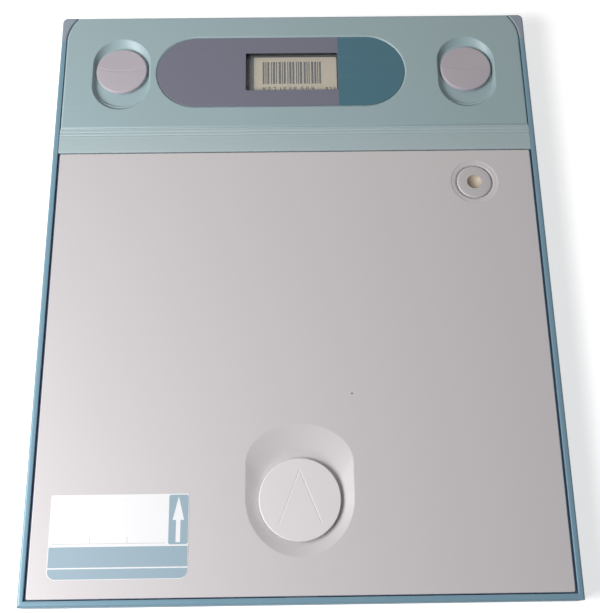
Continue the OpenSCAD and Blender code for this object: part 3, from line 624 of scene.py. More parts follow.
class CASSETTE_OT_header(bpy.types.Operator):
    """Build the header flap's shell with its two latch recesses and the name plate's seat"""
    bl_idname = "cassette.header"
    bl_label = "Header flap"

    def execute(self, context):
        skin, top = Skin(), CASE_H
        y_deep, lip_z = HALF_L - 4.0, top - 3.0
        deep, inner = header_outline(0, y_deep), header_outline(ROOF, y_deep)
        rim = skin.rim(header_outline, lip_z, top, looks().header_edge,
                       context.scene.cassette_steps.fillet_steps)
        skin.rings([header_outline(0), deep], [lip_z, lip_z])
        skin.rings([deep, deep, inner, inner], [lip_z, HEADER_Z0, HEADER_Z0, top - ROOF])
        roof_holes, face_holes = [], []
        for x in (-LATCH_X, LATCH_X):
            outlines, heights = latch_stack(x, top)
            skin.rings(outlines, heights)
            face_holes.append(outlines[-1])
            slot = slot_outline(x, KNOB_Y - 6.8, KNOB_Y + 3.0, 4.3)
            under = slot_outline(x, KNOB_Y - 5.5, KNOB_Y + 1.7, 15.8)
            roof = slot_outline(x, KNOB_Y - 6.6, KNOB_Y + 2.8, 16.4)
            skin.guide(outlines[0], slot, under, roof, top - RECESS, top - GUIDE, top - ROOF)
            roof_holes.append(roof)
        low, high = NAME
        cy, seat_z, room = (low[1] + high[1]) / 2, low[2], 0.3
        r = (high[1] - low[1]) / 2 + room
        x0, x1 = low[0] - room + r, high[0] + room - r
        bevel = [(0.0, seat_z), (0.0, top - 0.62), (0.08, top - 0.50), (0.55, top - 0.14),
                 (0.68, top - 0.07), (0.82, top - 0.025), (1.0, top), (1.08, top)]
        seats = [lying_outline(x0, x1, cy, r + d) for d, _ in bevel]
        skin.rings(seats, [z for _, z in bevel])
        face_holes.append(seats[-1])
        well = inset_box(*BEZEL, 0.05)(-0.1)
        skin.flat([seats[0], well], seat_z)
        skin.wall(well, seat_z, top - ROOF)
        skin.flat([rim] + face_holes, top)
        skin.flat([inner] + roof_holes + [well], top - ROOF)
        skin.make("header_shell", "header", "mint", [plastic("mint moulding")], "header_housing")
        return {"FINISHED"}


class CASSETTE_OT_name_plate(bpy.types.Operator):
    """Build the two-tone name plate, bare of any name, with its window opening"""
    bl_idname = "cassette.name_plate"
    bl_label = "Name plate"

    def execute(self, context):
        low, high = NAME
        cy, r = (low[1] + high[1]) / 2, (high[1] - low[1]) / 2

        def edge(d):
            return lying_outline(low[0] + r, high[0] - r, cy, r - d)

        def hole(d):
            return inset_box(*LENS, 0.8 + d)(-0.1 - d)
        skin = Skin()
        rims = [skin.rim(outline, low[2], high[2], 0.18, 5, 0.03) for outline in (edge, hole)]
        skin.flat(rims, high[2])
        skin.flat([edge(0), hole(0)], low[2])
        paint = plastic("name plate lacquer", painted=two_tone)
        skin.make("name_plate_blank", "header", "name_plate", [paint], "name_plate")
        return {"FINISHED"}


# A plain counting pattern: bar, gap, bar and so on, in millimetres before BAR_SCALE
BAR_WIDTHS = (1.0, 0.5, 0.6, 0.5, 1.1, 0.9, 0.6, 0.5, 1.2, 0.5, 0.6, 0.9, 1.2, 0.5, 0.6, 0.5, 1.1,
              0.9, 0.6, 0.5, 1.2, 0.5, 1.1, 0.9, 0.6, 0.5, 0.6, 0.5, 1.2, 0.9, 1.1, 0.5, 0.6, 0.5,
              0.6, 0.9, 1.2, 0.5, 1.1, 0.5, 0.6, 0.5, 1.0, 0.6)
BAR_START, BAR_SCALE = -18.0, 1.035
SEGMENTS = {0: "abcdef", 1: "bc", 2: "abged", 3: "abgcd", 4: "fgbc", 5: "afgcd", 6: "afgedc",
            7: "abc", 8: "abcdefg", 9: "abfgcd"}
STROKE = 0.42                 # width of the digits' strokes


def patch(skin, corners, z, r=0.02):
    """Ink between two corners in plan, for print on a label."""
    skin.prism([box_outline(*corners, r, 2)], z, z + PRINT)


def digit_strokes(skin, digit, x, y, w, h, z):
    """A plain digit of straight strokes in a box w wide and h high, with its corner at x, y."""
    s = STROKE
    mid = y + h / 2 - s / 2
    strokes = {"a": [x, y + h - s, x + w, y + h], "g": [x, mid, x + w, mid + s],
               "d": [x, y, x + w, y + s], "f": [x, mid, x + s, y + h], "e": [x, y, x + s, mid],
               "b": [x + w - s, mid, x + w, y + h], "c": [x + w - s, y, x + w, mid]}
    for i, name in enumerate(SEGMENTS[digit]):
        patch(skin, strokes[name], z + 0.001 * i)


class CASSETTE_OT_window(bpy.types.Operator):
    """Build the window: its dark well, the clear pane and the bar label below it"""
    bl_idname = "cassette.window"
    bl_label = "Window and bar label"

    def execute(self, context):
        (bz0, bz1), (lz0, lz1), (z0, z1) = ((box[0][2], box[1][2]) for box in (BEZEL, LENS, BAR))
        wall, foot = 1.2, 0.6                     # wall of the well, and its foot's reach inwards
        outer, inner, within = (inset_box(*BEZEL, 0.8)(d) for d in (0, wall, wall + foot))
        skin = Skin()
        skin.rings([within, outer, outer, outer, inner, inner, within, within],
                   [bz0, bz0, (bz0 + bz1) / 2, bz1, bz1, lz0, lz0, bz0])
        skin.make("window_well", "header", "black_plastic", [plastic("black moulding")],
                  "window_bezel")
        pane = Skin()
        pane.slab(inset_box(*LENS, 0.7), lz0, lz1, 0.12, 4, 0.02)
        pane.make("window_pane", "header", "clear_window", [clear("window pane")], "window_lens")
        paper = Skin()
        paper.prism([inset_box(*BAR, 1.0)(0)], z0, z1)
        paper.make("bar_label_paper", "header", "label_paper", [plastic("label paper")],
                   "bar_label")
        bars = Skin()
        x, z = BAR_START, z1 + 0.004
        for i, width in enumerate(BAR_WIDTHS):
            width *= BAR_SCALE
            if i % 2 == 0:
                patch(bars, [x, 121.1, x + width, 135.7], z)
            x += width
        for i, digit in enumerate((4, 2, 7, 1, 6, 3, 8, 5, 0, 9)):
            digit_strokes(bars, digit, -17.9 + 2.95 * i + (1.2 if i > 6 else 0), 116.4, 1.5, 2.7, z)
        for i, digit in enumerate((0, 7, 1)):
            digit_strokes(bars, digit, 18.2 + 2.0 * i, 116.9, 1.1, 1.9, z)
        bars.make("bar_label_print", "header", "label_paper", [plastic("label ink")])
        return {"FINISHED"}


# ---- latch knobs ----

HOLLOW_R = 700.0              # radius of the knob's shallow hollow
CREASE_R = 37.0               # radius of its crease, in plan
CREASE_Y = CREASE_R - 0.6     # middle of the crease's circle, from the knob's middle


class CASSETTE_OT_knobs(bpy.types.Operator):
    """Build both latch knobs, with the curved crease that the thumb pushes"""
    bl_idname = "cassette.knobs"
    bl_label = "Latch knobs"

    def execute(self, context):
        paint = plastic("knob moulding")
        for side in ("left", "right"):
            build_knob(side, paint)
        return {"FINISHED"}


def knob_height(x, y, top):
    """Top of a knob: level below the crease, a fine groove in it, a hollow of HOLLOW_R beyond."""
    q = np.hypot(x, y - CREASE_Y)
    drop = math.sqrt(HOLLOW_R ** 2 - CREASE_R ** 2)
    bowl = top + drop - np.sqrt(HOLLOW_R ** 2 - q ** 2) - 0.3
    rise = np.clip((q - CREASE_R) / 0.35 + 0.5, 0, 1)
    rise = rise * rise * (3 - 2 * rise)
    crown = -0.0009 * (x ** 2 + y ** 2)
    line = 0.22 * np.exp(-((q - CREASE_R) / 0.2) ** 2)
    return bowl * (1 - rise) + (top + crown) * rise - line


def build_knob(side, paint):
    """Disc mapped so that its rows follow the crease, then a rounded rim, wall and neck.

    Columns are cosines across the disc; in each, rows run from the lower edge to the crease
    and from the crease to the upper edge."""
    low, high = KNOBS[side]
    cx, rim = (low[0] + high[0]) / 2, 0.6
    rc = (high[0] - low[0]) / 2 - rim
    base = high[2] - 2.3                          # underside, above the neck
    columns = np.cos(np.linspace(np.pi, 0, 97)) * rc
    edge = np.sqrt(np.maximum(rc ** 2 - columns ** 2, 0))
    crease = np.clip(CREASE_Y - np.sqrt(CREASE_R ** 2 - columns ** 2), -edge, edge)
    upper = np.clip(crease + 0.35, -edge, edge)
    share = np.linspace(0, 1, 20)
    rows = [-edge + (crease - 0.35 + edge) * f for f in share[:-1] ** 0.9]
    rows += [crease + d for d in (-0.35, -0.2, -0.1, 0.0, 0.1, 0.2, 0.35)]
    rows += [upper * (1 - f) + edge * f for f in share[1:]]
    y = np.clip(np.array(rows), -edge, edge)
    x = np.broadcast_to(columns, y.shape)
    z = knob_height(x, y, high[2] - 0.02)
    skin = Skin()
    skin.grid(np.stack([x + cx, y + KNOB_Y, z], -1))
    bound_x, bound_y, bound_z = (np.concatenate([v[0], v[-1][::-1]]) for v in (x, y, z))
    angle = np.arctan2(bound_y, bound_x)
    room = np.minimum(rim, 0.8 * (bound_z - base))
    outlines, heights = [], []
    for a in np.linspace(0, np.pi / 2, 7):
        radius = rc + rim * math.sin(a)
        outlines.append(np.stack([radius * np.cos(angle) + cx, radius * np.sin(angle) + KNOB_Y], 1))
        heights.append(bound_z - room * (1 - math.cos(a)))
    skin.rings(outlines + outlines[-1:], heights + [np.full(len(angle), base)])
    skin.neck(outlines[-1], round_outline(cx, KNOB_Y, 4.0, 48), base, low[2])
    skin.make(side + "_knob", side + "_latch", "knob_pink", [paint], side + "_latch_knob", sharp=40)


# ---- the hinge strip ----

GROOVES = (                   # distance below the header's edge, depth, half width
    (0.35, 0.36, 0.35), (2.35, 0.34, 0.50), (4.25, 0.34, 0.50), (6.0, 0.26, 0.35))


def groove_profile(y):
    """Height of the strip over y: level, with soft grooves, each a raised cosine to a power."""
    z = np.full(y.shape, WEB[1][2])
    for below, depth, half in GROOVES:
        d = np.clip(np.abs(y - (HEADER_Y0 - below)) / half, 0, 1)
        z = z - depth * (0.5 + 0.5 * np.cos(np.pi * d)) ** 0.7
    return z


def extrude_along_x(name, body, loop_y, loop_z, box, paint, node):
    """Closed section in y and z carried along X through the length of a box in 24 spans."""
    x = np.linspace(box[0][0], box[1][0], 25)
    skin = Skin()
    skin.sweep(np.stack(np.broadcast_arrays(x[:, None], loop_y, loop_z), -1), [1, 2])
    return skin.make(name, body, "mint", [paint], node, sharp=50)


class CASSETTE_OT_hinge(bpy.types.Operator):
    """Build the grooved flexible strip in two halves, and the rigid band on the back's side"""
    bl_idname = "cassette.hinge"
    bl_label = "Hinge strip"

    def execute(self, context):
        paint = plastic("strip moulding")
        low, high = WEB[0][1], WEB[1][1]
        half = (low + high) / 2
        for name, ends, other, node in (("strip_upper", (half, high), "header", "hinge_web"),
                                        ("strip_lower", (half, low), "lid", None)):
            y = np.linspace(min(ends), max(ends), 61)
            loop_y = np.concatenate([y, y[::-1]])
            loop_z = np.concatenate([groove_profile(y), np.full(61, WEB[0][2])])
            piece = extrude_along_x(name, None, loop_y, loop_z, (-WEB[1], WEB[1]), paint, node)
            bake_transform(piece)
        (_, y0, z0), (_, y1, z1) = BAND
        a = np.linspace(0, np.pi / 2, 6)
        r = 0.45
        loop_y = np.concatenate([[y1, y1], y0 + r - r * np.sin(a), [y0]])
        loop_z = np.concatenate([[z0, z1], z1 - r + r * np.cos(a), [z0]])
        extrude_along_x("strip_band", "lid", loop_y, loop_z, BAND, paint, "hinge_band")
        return {"FINISHED"}


# ---- the back plate with its dish and plug seat ----

def dish_rings(top, n):
    """Rings of the dish: from the slot round the disc out to a circle and a long upper ramp.

    Height rises as a hyperbola: level beside the disc, then an even slope up to the face."""
    t = np.linspace(0, 1, n)
    inner = slot_outline(0, LOCK_Y + DISH_IN[0], LOCK_Y + DISH_IN[1], DISC_R - 2.0)
    outer, rim = (arch_outline(0, LOCK_Y + 1.0, LOCK_Y + 18.0, 26.8 + d, 19.5 + d, 28.4 + d)
                  for d in (0.0, 0.1))
    soft = 0.16
    slope = DISH * (np.sqrt(t * t + soft ** 2) - soft) / (math.sqrt(1 + soft ** 2) - soft)
    return [inner * (1 - f) + outer * f for f in t] + [rim], list(top - DISH + slope) + [top]


class CASSETTE_OT_back(bpy.types.Operator):
    """Build the painted back plate with the lock's dish and the plug's seat pressed into it"""
    bl_idname = "cassette.back"
    bl_label = "Back plate"

    def execute(self, context):
        low, high = BACK[0] - [0, 0.6, 0], BACK[1]
        top, under = high[2], high[2] - SHEET
        skin = Skin()
        outer = inset_box(low, high, 1.1, 0)
        rim = skin.rim(outer, under, top, 0.35, 6)
        rings, heights = dish_rings(top, context.scene.cassette_steps.bowl_steps)
        skin.rings(rings, heights)
        slot = slot_outline(0, LOCK_Y - 3.9, LOCK_Y + 8.4, 4.3)
        under_in = slot_outline(0, LOCK_Y + DISH_IN[0], LOCK_Y + DISH_IN[1], DISC_R + 1.4)
        under_out = slot_outline(0, LOCK_Y - 0.6, LOCK_Y + 11.0, 25.0)
        skin.guide(rings[0], slot, under_in, under_out, heights[0], heights[0] - SHEET, under)
        px, py = (PLUG[0][:2] + PLUG[1][:2]) / 2
        seat = [(13.2, top), (12.95, top), (12.8, top - 0.05), (12.45, top - 0.24),
                (12.25, top - 0.28), (11.2, top - 0.3), (10.4, top - 0.46), (10.2, top - 0.62),
                (10.15, top - 1.25), (9.2, top - 1.25), (9.15, top - 0.7), (6.95, top - 0.7)]
        skin.turned(px, py, seat)
        boss, bore = round_outline(px, py, seat[0][0]), round_outline(px, py, seat[-1][0])
        skin.wall(bore, seat[-1][1], top - 1.7)
        skin.flat([boss, bore], top - 1.7)
        skin.wall(boss, top - 1.7, under)
        skin.flat([rim, rings[-1], boss], top)
        skin.flat([outer(0), under_out, boss], under)
        skin.make("back_skin", "lid", "back_silver", [silver_paint()], "back_plate")
        return {"FINISHED"}


def mark_outline(half, apex_y, drop, spread):
    """Outline of an upright V mark of two strokes, each 2 * half wide, meeting at the top."""
    lean = math.atan2(spread, drop)
    n = np.array([math.cos(lean), math.sin(lean)]) * half
    tall = half / math.sin(lean)
    left, right = np.array([-spread, apex_y - drop]), np.array([spread, apex_y - drop])
    return np.array([left + n * [-1, 1], [0, apex_y + tall], right + n, right - n,
                     [0, apex_y - tall], left - n * [-1, 1]])


class CASSETTE_OT_lock(bpy.types.Operator):
    """Build the lock disc with its engraved mark, and the plug beside the hinge"""
    bl_idname = "cassette.lock"
    bl_label = "Lock disc and plug"

    def execute(self, context):
        low, high = DISC
        top, base, edge = high[2], high[2] - 1.9, 0.3
        skin = Skin()
        inset, height = fillet(0.55, top, 7, 0.04)
        mark = [(0.26, 0.0), (0.14, -0.10), (0.12, -0.11)]      # half width and depth
        strokes = [mark_outline(h, LOCK_Y + 14.4, 25.6, 10.3) for h, _ in mark]
        profile = [(DISC_R - edge, base), (DISC_R, base + edge)]
        profile += [(DISC_R - d, z) for d, z in zip(inset, height)]
        skin.turned(0, LOCK_Y, profile)
        skin.flat([round_outline(0, LOCK_Y, profile[-1][0]), strokes[0]], top)
        skin.rings(strokes, [top + d for _, d in mark])
        skin.flat([strokes[-1]], top + mark[-1][1])
        skin.neck(round_outline(0, LOCK_Y, DISC_R - edge),
                  slot_outline(0, LOCK_Y - 2, LOCK_Y + 2, 4.0), base, low[2])
        skin.make("lock_disc_cap", "lock", "disc_silver", [plastic("disc moulding", 1.28)],
                  "lock_disc")

        low, high = PLUG
        px, py = (low[:2] + high[:2]) / 2
        top, ball, dimple, tip = high[2], 4.7, 4.1, 0.02
        a = np.linspace(0, 1, 12)[1:] * dimple
        hollow = top + math.sqrt(ball ** 2 - dimple ** 2) - np.sqrt(ball ** 2 - a ** 2)
        dent = list(zip(a, hollow))
        face = dent[-1:] + [
            (4.25, top), (8.4, top), (8.75, top - 0.03), (9.1, top - 0.14), (9.4, top - 0.34),
            (9.5, top - 0.5), (9.5, top - 0.58), (6.9, top - 0.6), (6.9, 11.4), (8.3, 11.4),
            (8.3, low[2]), (tip, low[2])]
        plug = Skin()
        # mark 1 gives the dimple's faces the painted warm reflection
        plug.turned(px, py, dent, 1)
        plug.turned(px, py, face)
        plug.flat([round_outline(px, py, a[0])], hollow[0], 1)
        plug.flat([round_outline(px, py, tip)], low[2])
        plug.make("plug_cap", "lid", "disc_silver",
                  [plastic("plug moulding", 0.97), plastic("plug dimple")], "index_plug")
        return {"FINISHED"}


# ---- the writing label ----

class CASSETTE_OT_note(bpy.types.Operator):
    """Build the writing label with its coloured fields, its arrow field and its ruled line"""
    bl_idname = "cassette.note"
    bl_label = "Writing label"

    def execute(self, context):
        low, high = NOTE[0] - [0, 1.3, 0], NOTE[1] + [0.6, -0.5, 0]
        (x0, y0, z0), (x1, y1, z1) = low, high
        edge = inset_box(low, high, (4.0, 1.0, 1.0, 4.0), 0)
        film = Skin()
        film.rings([edge(0), edge(0), edge(0.05)], [z0, z1 - 0.04, z1])
        film.flat([edge(0)], z0)
        film.flat([edge(0.05)], z1)
        film.make("note_film", "lid", "writing_label", [plastic("label film")], "writing_label")
        z = z1 + 0.002
        fields = Skin()
        neck, head, notch, foot = 1.1, 2.8, 11.3, 21.8          # arrow: half widths and lengths
        arrow = np.array([x0 + 61.9, y1 - 1.3]) + [
            [0, 0], [-head, -notch], [-neck, -notch], [-neck, -foot], [neck, -foot],
            [neck, -notch], [head, -notch]]
        fields.prism([box_outline(x0 + 57.3, y0 + 15.9, x0 + 66.7, y1 - 0.5, 1.0), arrow],
                     z, z + PRINT)
        for y_low, y_high, r in ((5.6, 15.2, 0.1), (0.25, 5.0, [3.8, 0.1, 0.1, 3.8])):
            fields.prism([box_outline(x0 + 0.25, y0 + y_low, x1 - 0.25, y0 + y_high, r)],
                         z, z + PRINT)
        fields.make("note_fields", "lid", "writing_label", [plastic("label print")])
        rules = Skin()
        patch(rules, [x0 + 1.4, y0 + 16.5, x0 + 55.9, y0 + 16.75], z)
        for tick in (19.6, 37.5):
            patch(rules, [x0 + tick, y0 + 16.9, x0 + tick + 0.25, y0 + 19.7], z)
        rules.make("note_rules", "lid", "writing_label", [plastic("label rule")])
        return {"FINISHED"}


# ---- rails and corner caps ----

def rail_loop(keeper=None):
    """Rail section as depth inwards from the outer face and height: rounded wall and ledge.

    keeper gives the low and high end and the depth of a pocket in the inner face."""
    r_low, r_out, r_in, ledge, sole = 0.5, 1.25, 0.35, 6.0, 1.0
    h, wall = CASE_H, RAIL_WALL
    a = np.linspace(0, np.pi / 2, 8)
    pocket = np.zeros((0, 2))
    if keeper:
        low, high, deep = keeper
        pocket = [[wall, high], [wall - deep, high], [wall - deep, low], [wall, low]]
    return np.vstack([
        np.stack([r_low - r_low * np.sin(a[::-1]), r_low - r_low * np.cos(a[::-1])], 1)[::-1],
        np.stack([r_out - r_out * np.cos(a), h - r_out + r_out * np.sin(a)], 1),
        np.stack([wall - r_in + r_in * np.sin(a), h - r_in + r_in * np.cos(a)], 1),
        pocket, [[wall, sole], [wall + ledge, sole], [wall + ledge, 0.0]]])


class CASSETTE_OT_rails(bpy.types.Operator):
    """Build the side and bottom rails with their rounded outer edges and mitred corners"""
    bl_idname = "cassette.rails"
    bl_label = "Rails"

    def execute(self, context):
        paint = plastic("rail lacquer")
        depth, height = rail_loop().T
        t = np.linspace(0, 1, 33)[:, None]
        y = (-HALF_L + depth) * (1 - t) + RAIL[1][1] * t
        bars = [(name, np.stack(np.broadcast_arrays(sign * (HALF_W - depth), y, height), -1))
                for name, sign in (("left_rail", -1), ("right_rail", 1))]
        (x0, _, z0), (x1, _, z1) = LOCK_BOLT
        half = (x1 - x0) / 4 + 0.4                    # half width of the bolt's pocket
        rows = []
        for at, deep in ((-1, 0), (-half, 0), (-half, 1), (half, 1), (half, 0), (1, 0)):
            depth, height = rail_loop((z0 - 0.3, z1 + 0.3, 1.6 * deep)).T
            x = at * (HALF_W - depth) if abs(at) == 1 else np.full(len(depth), at)
            rows.append(np.stack([x, -HALF_L + depth, height], 1))
        for name, grid in bars + [("bottom_rail", np.stack(rows))]:
            skin = Skin()
            skin.sweep(grid, [0, 2])
            skin.make(name + "_bar", "root", "rail_teal", [paint], name, sharp=50)
        return {"FINISHED"}


def horn_outline(inset, sign, full):
    """Cap outline: outer corner of radius 3, and the hollow side that follows the header.

    full stops the hollow side at the inner face of the top rail and adds the block there."""
    x1, y1, y_rail = HALF_W - inset, HALF_L - inset, HALF_L - RAIL_WALL
    r = max(3.0 - inset, 0.5)
    cx, hollow = HEADER_X - CORNER_R, CORNER_R + HEADER_GAP + inset
    corner = np.linspace(0, np.pi / 2, 12)
    at_rail = math.asin((y_rail - CORNER_Y) / hollow)

    def side(start, stop, n):
        arc = np.linspace(start, stop, n)
        return np.stack([cx + hollow * np.cos(arc), CORNER_Y + hollow * np.sin(arc)], 1)
    if full:
        block = np.column_stack([np.full(8, CAP[0][0]), np.linspace(y1, y_rail, 8)])
    else:
        block = side(math.asin((y1 - CORNER_Y) / hollow), at_rail, 8)
    return np.vstack([
        [[x1, CAP[0][1]]], np.stack([x1 - r + r * np.cos(corner), y1 - r + r * np.sin(corner)], 1),
        block, side(at_rail, 0, 20)]) * [sign, 1]


class CASSETTE_OT_caps(bpy.types.Operator):
    """Build the two moulded corner caps at the header's end"""
    bl_idname = "cassette.caps"
    bl_label = "Corner caps"

    def execute(self, context):
        paint = plastic("cap moulding")
        step_z, r_low = 11.8, 0.5
        low_in, low_z = fillet(r_low, r_low, 6)
        for name, sign in (("left", -1), ("right", 1)):
            skin = Skin()
            whole, upper = horn_outline(0, sign, True), horn_outline(0, sign, False)
            skin.rings([horn_outline(d, sign, True) for d in low_in[::-1]] + [whole],
                       [r_low - z for z in low_z[::-1]] + [step_z])
            skin.rings([whole, upper], [step_z, step_z])
            rim = skin.rim(lambda d: horn_outline(d, sign, False), step_z, CASE_H, 0.9)
            skin.flat([rim], CASE_H)
            skin.flat([horn_outline(low_in[-1], sign, True)], r_low - low_z[-1])
            skin.make(name + "_corner", "root", "cap_grey", [paint], name + "_cap", sharp=45)
        return {"FINISHED"}


# ---- springs and the soft pieces between panel and lid ----

class CASSETTE_OT_springs(bpy.types.Operator):
    """Build the three coil springs"""
    bl_idname = "cassette.springs"
    bl_label = "Springs"

    def execute(self, context):
        wire = metal("spring wire", srgb(170, 172, 176), 0.3, (900.0, 900.0, 900.0))
        for name, body, joint, travel in (
                ("left_latch_spring", "header", "left_latch_slide", 5.5),
                ("right_latch_spring", "header", "right_latch_slide", 5.5),
                ("lock_spring", "lid", "lock_slide", 6.0)):
            low, high = place(name)
            spring = build_coil(name, low, high, body, wire)
            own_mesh(spring)
        return {"FINISHED"}


def build_coil(node, low, high, body, wire):
    """Helix along Y of nine turns: a circle of wire carried along it."""
    turns, sides, per_turn, r_wire = 9, 10, 28, 0.25
    cx, cz = (low[0] + high[0]) / 2, (low[2] + high[2]) / 2
    r = (high[0] - low[0]) / 2 - r_wire
    t = np.linspace(0, 1, turns * per_turn)
    y = low[1] + r_wire + (high[1] - low[1] - 2 * r_wire) * (t + 0.012 * np.sin(2 * np.pi * t))
    a = 2 * np.pi * turns * t
    line = np.stack([cx + r * np.cos(a), y, cz + r * np.sin(a)], 1)
    out = np.stack([np.cos(a), np.zeros_like(a), np.sin(a)], 1)
    tangent = np.gradient(line, axis=0)
    tangent /= np.linalg.norm(tangent, axis=1, keepdims=True)
    side = np.cross(tangent, out)
    b = np.linspace(0, 2 * np.pi, sides, endpoint=False)
    tube = (line[:, None] + r_wire * (np.cos(b)[None, :, None] * out[:, None] +
                                      np.sin(b)[None, :, None] * side[:, None]))
    skin = Skin()
    skin.grid(tube, wrap=True)
    for row in (0, -1):
        middle = np.broadcast_to(line[row], (sides, 3))
        skin.grid(np.stack([tube[row], middle]), wrap=True)
    return skin.make(node + "_coil", body, "spring_steel", [wire], node, sharp=60, weld=0.0005)


def build_pad(name, node, edge, body, slot, paint):
    """Soft slab with rounded rims, over the whole box of its node."""
    low, high = place(node)
    skin = Skin()
    skin.slab(inset_box(low, high, 1.2), low[2], high[2], edge, 6, 0.05)
    return skin.make(name, body, slot, [paint], node, sharp=50)


class CASSETTE_OT_soft_layers(bpy.types.Operator):
    """Build the pressure foam, the felt under the plate and the light seal strips"""
    bl_idname = "cassette.soft_layers"
    bl_label = "Foam, felt and seals"

    def execute(self, context):
        foam = build_pad("foam_pad", "pressure_foam", 0.5, "lid", "foam",
                         foam_texture("cell foam", srgb(74, 76, 84)))
        felt = build_pad("felt_sheet", "front_felt", 0.12, "root", "felt",
                         felt_texture("felt pile", srgb(38, 38, 42)))
        low, high = place("front_felt")
        (x0, y0, z0), (x1, y1, z1) = place("light_seal")
        w, inner = 2.4, 2.6                       # width of a strip, and where the next begins
        skin = Skin()
        for low, high in (((x0, y0), (x0 + w, y1)), ((x1 - w, y0), (x1, y1)),
                          ((x0 + inner, y0), (x1 - inner, y0 + w)),
                          ((x0 + inner, y1 - w), (x1 - inner, y1))):
            skin.slab(inset_box(low, high, 0.3), z0, z1, 0.5, 5, 0.05)
        seal = skin.make("seal_strips", "root", "felt",
                         [felt_texture("seal pile", srgb(30, 30, 33))], "light_seal")
        return {"FINISHED"}


class CASSETTE_OT_inner_finishes(bpy.types.Operator):
    """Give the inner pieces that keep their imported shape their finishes"""
    bl_idname = "cassette.inner_finishes"
    bl_label = "Inner finishes"

    def execute(self, context):
        steel = metal("slide steel", srgb(176, 178, 182), 0.32)
        lead = metal("lead sheet", srgb(112, 114, 120), 0.55, (60.0, 300.0, 60.0), 0.8)
        for paint, nodes in (
                (bpy.data.materials["rail lacquer"], ("top_rail",)),
                (plastic("front laminate"), ("front_panel",)),
                (plastic("plate coating"), ("imaging_plate",)),
                (plastic("inner moulding"), ("header_cover",)),
                (plastic("lid frame lacquer"), ("lid_frame",)),
                (lead, ("lead_foil",)),
                (steel, ("header_screws", "left_latch_bolt", "right_latch_bolt", "lock_bolt"))):
            for node in nodes:
                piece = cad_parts[node]
                for slot in piece.material_slots:
                    slot.material = paint
                if not piece.material_slots:
                    piece.data.materials.append(paint)
        return {"FINISHED"}


# ---- floor, lamps and camera ----

CAMERA_LENS = 56.244
CAMERA_PLACE = (-0.003571, -0.181899, 0.485877)
CAMERA_FORWARD = (0.00993277, 0.33271987, -0.9429734)
CAMERA_UP = (0.01160193, 0.9429181, 0.33282256)
CAMERA_RIGHT = (0.99988336, -0.01424616, 0.0055056)
LAMPS = (
    # name, place, aim, size, power, tint
    ("key", (-0.50, -0.32, 0.52), (0.0, -0.01, 0.0), (0.3, 0.3), 3.35, (1.0, 0.98, 0.99)),
    ("side", (-0.55, -0.10, 0.40), (0.0, -0.01, 0.0), (0.3, 0.3), 2.7, (0.99, 1.0, 1.0)),
    ("top warmth", (0.10, 0.60, 0.45), (0.0, 0.0, 0.0), (0.5, 0.3), 0.30, (1.0, 0.75, 0.50)),
    ("low window", (0.20, 0.55, 0.12), (0.0, 0.10, 0.0), (0.3, 0.1), 0.04, (0.30, 0.50, 1.0)),
)
SKY = 0.13                    # strength of the surroundings where they only light
FLOOR_GLOW = 0.62             # what the floor adds to reach plain white, where it is seen
FLOOR_HALF, FLOOR_Z = 1.5, -0.0002


class CASSETTE_OT_studio(bpy.types.Operator):
    """Build the pale floor, the soft lamps, the white surroundings and the camera"""
    bl_idname = "cassette.studio"
    bl_label = "Floor, lamps and camera"

    def execute(self, context):
        scene = context.scene

        def add(name, data):
            made = bpy.data.objects.new(name, data)
            scene.collection.objects.link(made)
            return made
        mesh = bpy.data.meshes.new("studio_floor")
        line = np.linspace(-FLOOR_HALF, FLOOR_HALF, 9)
        gx, gy = np.meshgrid(line, line)
        points = np.stack([gx, gy, np.full_like(gx, FLOOR_Z)], -1).reshape(-1, 3)
        index = np.arange(gx.size).reshape(gx.shape)
        faces = np.stack([index[:-1, :-1], index[:-1, 1:], index[1:, 1:], index[1:, :-1]], -1)
        mesh.from_pydata(points.tolist(), [], faces.reshape(-1, 4).tolist())
        mesh.materials.append(floor_paper())
        add("studio_floor", mesh)
        for name, where, aim, size, power, tone in LAMPS:
            lamp = bpy.data.lights.new(name, "AREA")
            lamp.shape = "RECTANGLE"
            lamp.size, lamp.size_y = size
            lamp.energy, lamp.color = power, tone
            holder = add(name, lamp)
            holder.location = where
            turn = (Vector(aim) - Vector(where)).to_track_quat("-Z", "Y")
            holder.rotation_euler = turn.to_euler()
        surroundings(scene)
        scene.view_settings.view_transform = "Standard"
        camera = bpy.data.cameras.new("photo view")
        camera.lens = CAMERA_LENS
        camera.sensor_width = 36.0
        camera.dof.use_dof = False
        scene.camera = add("photo view", camera)
        turn = Matrix((CAMERA_RIGHT, CAMERA_UP, [-v for v in CAMERA_FORWARD])).transposed()
        scene.camera.matrix_world = Matrix.Translation(CAMERA_PLACE) @ turn.to_4x4()
        return {"FINISHED"}


def floor_paper():
    """Matt white paper that shows as plain white away from the object's shadow."""
    made, tree = material("studio paper")
    base = mix_colour(tree, noise(tree, object_place(tree), 400.0, 3.0),
                      (0.90, 0.90, 0.90, 1), (0.94, 0.94, 0.94, 1))
    path = add_node(tree, "ShaderNodeLightPath").outputs
    dress(tree, base, 0.9, others={
        "Specular IOR Level": 0.1, "Emission Color": (1.0, 1.0, 1.0, 1.0),
        "Emission Strength": maths(tree, "MULTIPLY", path["Is Camera Ray"], FLOOR_GLOW)})
    return made


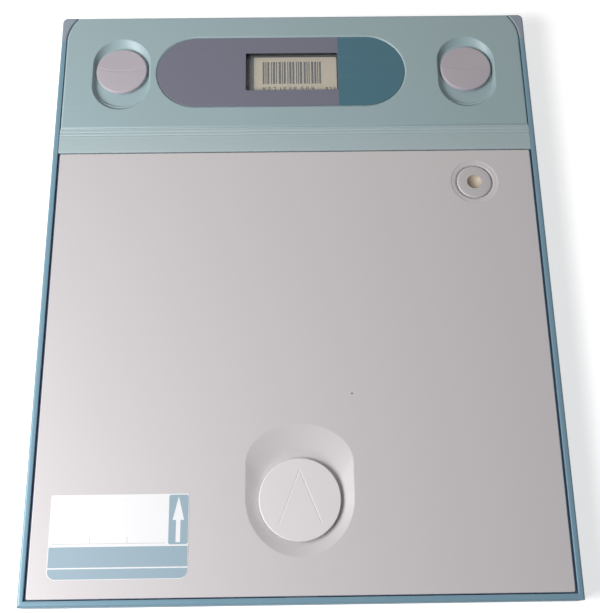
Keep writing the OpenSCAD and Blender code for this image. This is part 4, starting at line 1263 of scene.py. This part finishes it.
def surroundings(scene):
    """World: plain white where it is seen, mirrored or looked through, softer as a light."""
    world = scene.world or bpy.data.worlds.new("studio")
    scene.world = world
    world.use_nodes = True
    tree = world.node_tree
    tree.nodes.clear()
    path = add_node(tree, "ShaderNodeLightPath").outputs
    seen = maths(tree, "MAXIMUM", path["Is Camera Ray"],
                 maths(tree, "MAXIMUM", path["Is Glossy Ray"], path["Is Transmission Ray"]))
    strength = maths(tree, "ADD", maths(tree, "MULTIPLY", seen, 1.0 - SKY), SKY)
    tone = mix_colour(tree, seen, (0.84, 0.93, 1.0, 1.0), (1.0, 1.0, 1.0, 1.0))
    background = add_node(tree, "ShaderNodeBackground", {0: tone, 1: strength})
    add_node(tree, "ShaderNodeOutputWorld", {0: background.outputs[0]})


# ---- the panel and the run ----

OPERATORS = (
    CASSETTE_OT_rails, CASSETTE_OT_caps, CASSETTE_OT_header, CASSETTE_OT_name_plate,
    CASSETTE_OT_window, CASSETTE_OT_knobs, CASSETTE_OT_hinge, CASSETTE_OT_back,
    CASSETTE_OT_lock, CASSETTE_OT_note, CASSETTE_OT_springs, CASSETTE_OT_soft_layers,
    CASSETTE_OT_inner_finishes, CASSETTE_OT_studio,
)


class CASSETTE_PT_pieces(bpy.types.Panel):
    """Lists the sizes, the colours and one button for each piece"""
    bl_idname = "CASSETTE_PT_pieces"
    bl_label = "Imaging-plate cassette"
    bl_space_type = "VIEW_3D"
    bl_region_type = "UI"
    bl_category = "Cassette"

    def draw(self, context):
        for group in (context.scene.cassette_looks, context.scene.cassette_steps):
            for prop in group.bl_rna.properties:
                if prop.identifier not in {"rna_type", "name"}:
                    self.layout.prop(group, prop.identifier)
        for operator in OPERATORS:
            self.layout.operator(operator.bl_idname)


CLASSES = (CassetteLooks, CassetteCoarseness) + OPERATORS + (CASSETTE_PT_pieces,)


def register():
    for cls in CLASSES:
        bpy.utils.register_class(cls)
    bpy.types.Scene.cassette_looks = PointerProperty(type=CassetteLooks)
    bpy.types.Scene.cassette_steps = PointerProperty(type=CassetteCoarseness)


def unregister():
    del bpy.types.Scene.cassette_steps
    del bpy.types.Scene.cassette_looks
    for cls in reversed(CLASSES):
        bpy.utils.unregister_class(cls)


def main():
    """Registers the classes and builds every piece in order."""
    register()
    grain_group()
    wear_group()
    edge_group()
    for operator in OPERATORS:
        group, name = operator.bl_idname.split(".")
        getattr(getattr(bpy.ops, group), name)()
    bpy.context.view_layer.update()


if __name__ == "__main__":
    main()
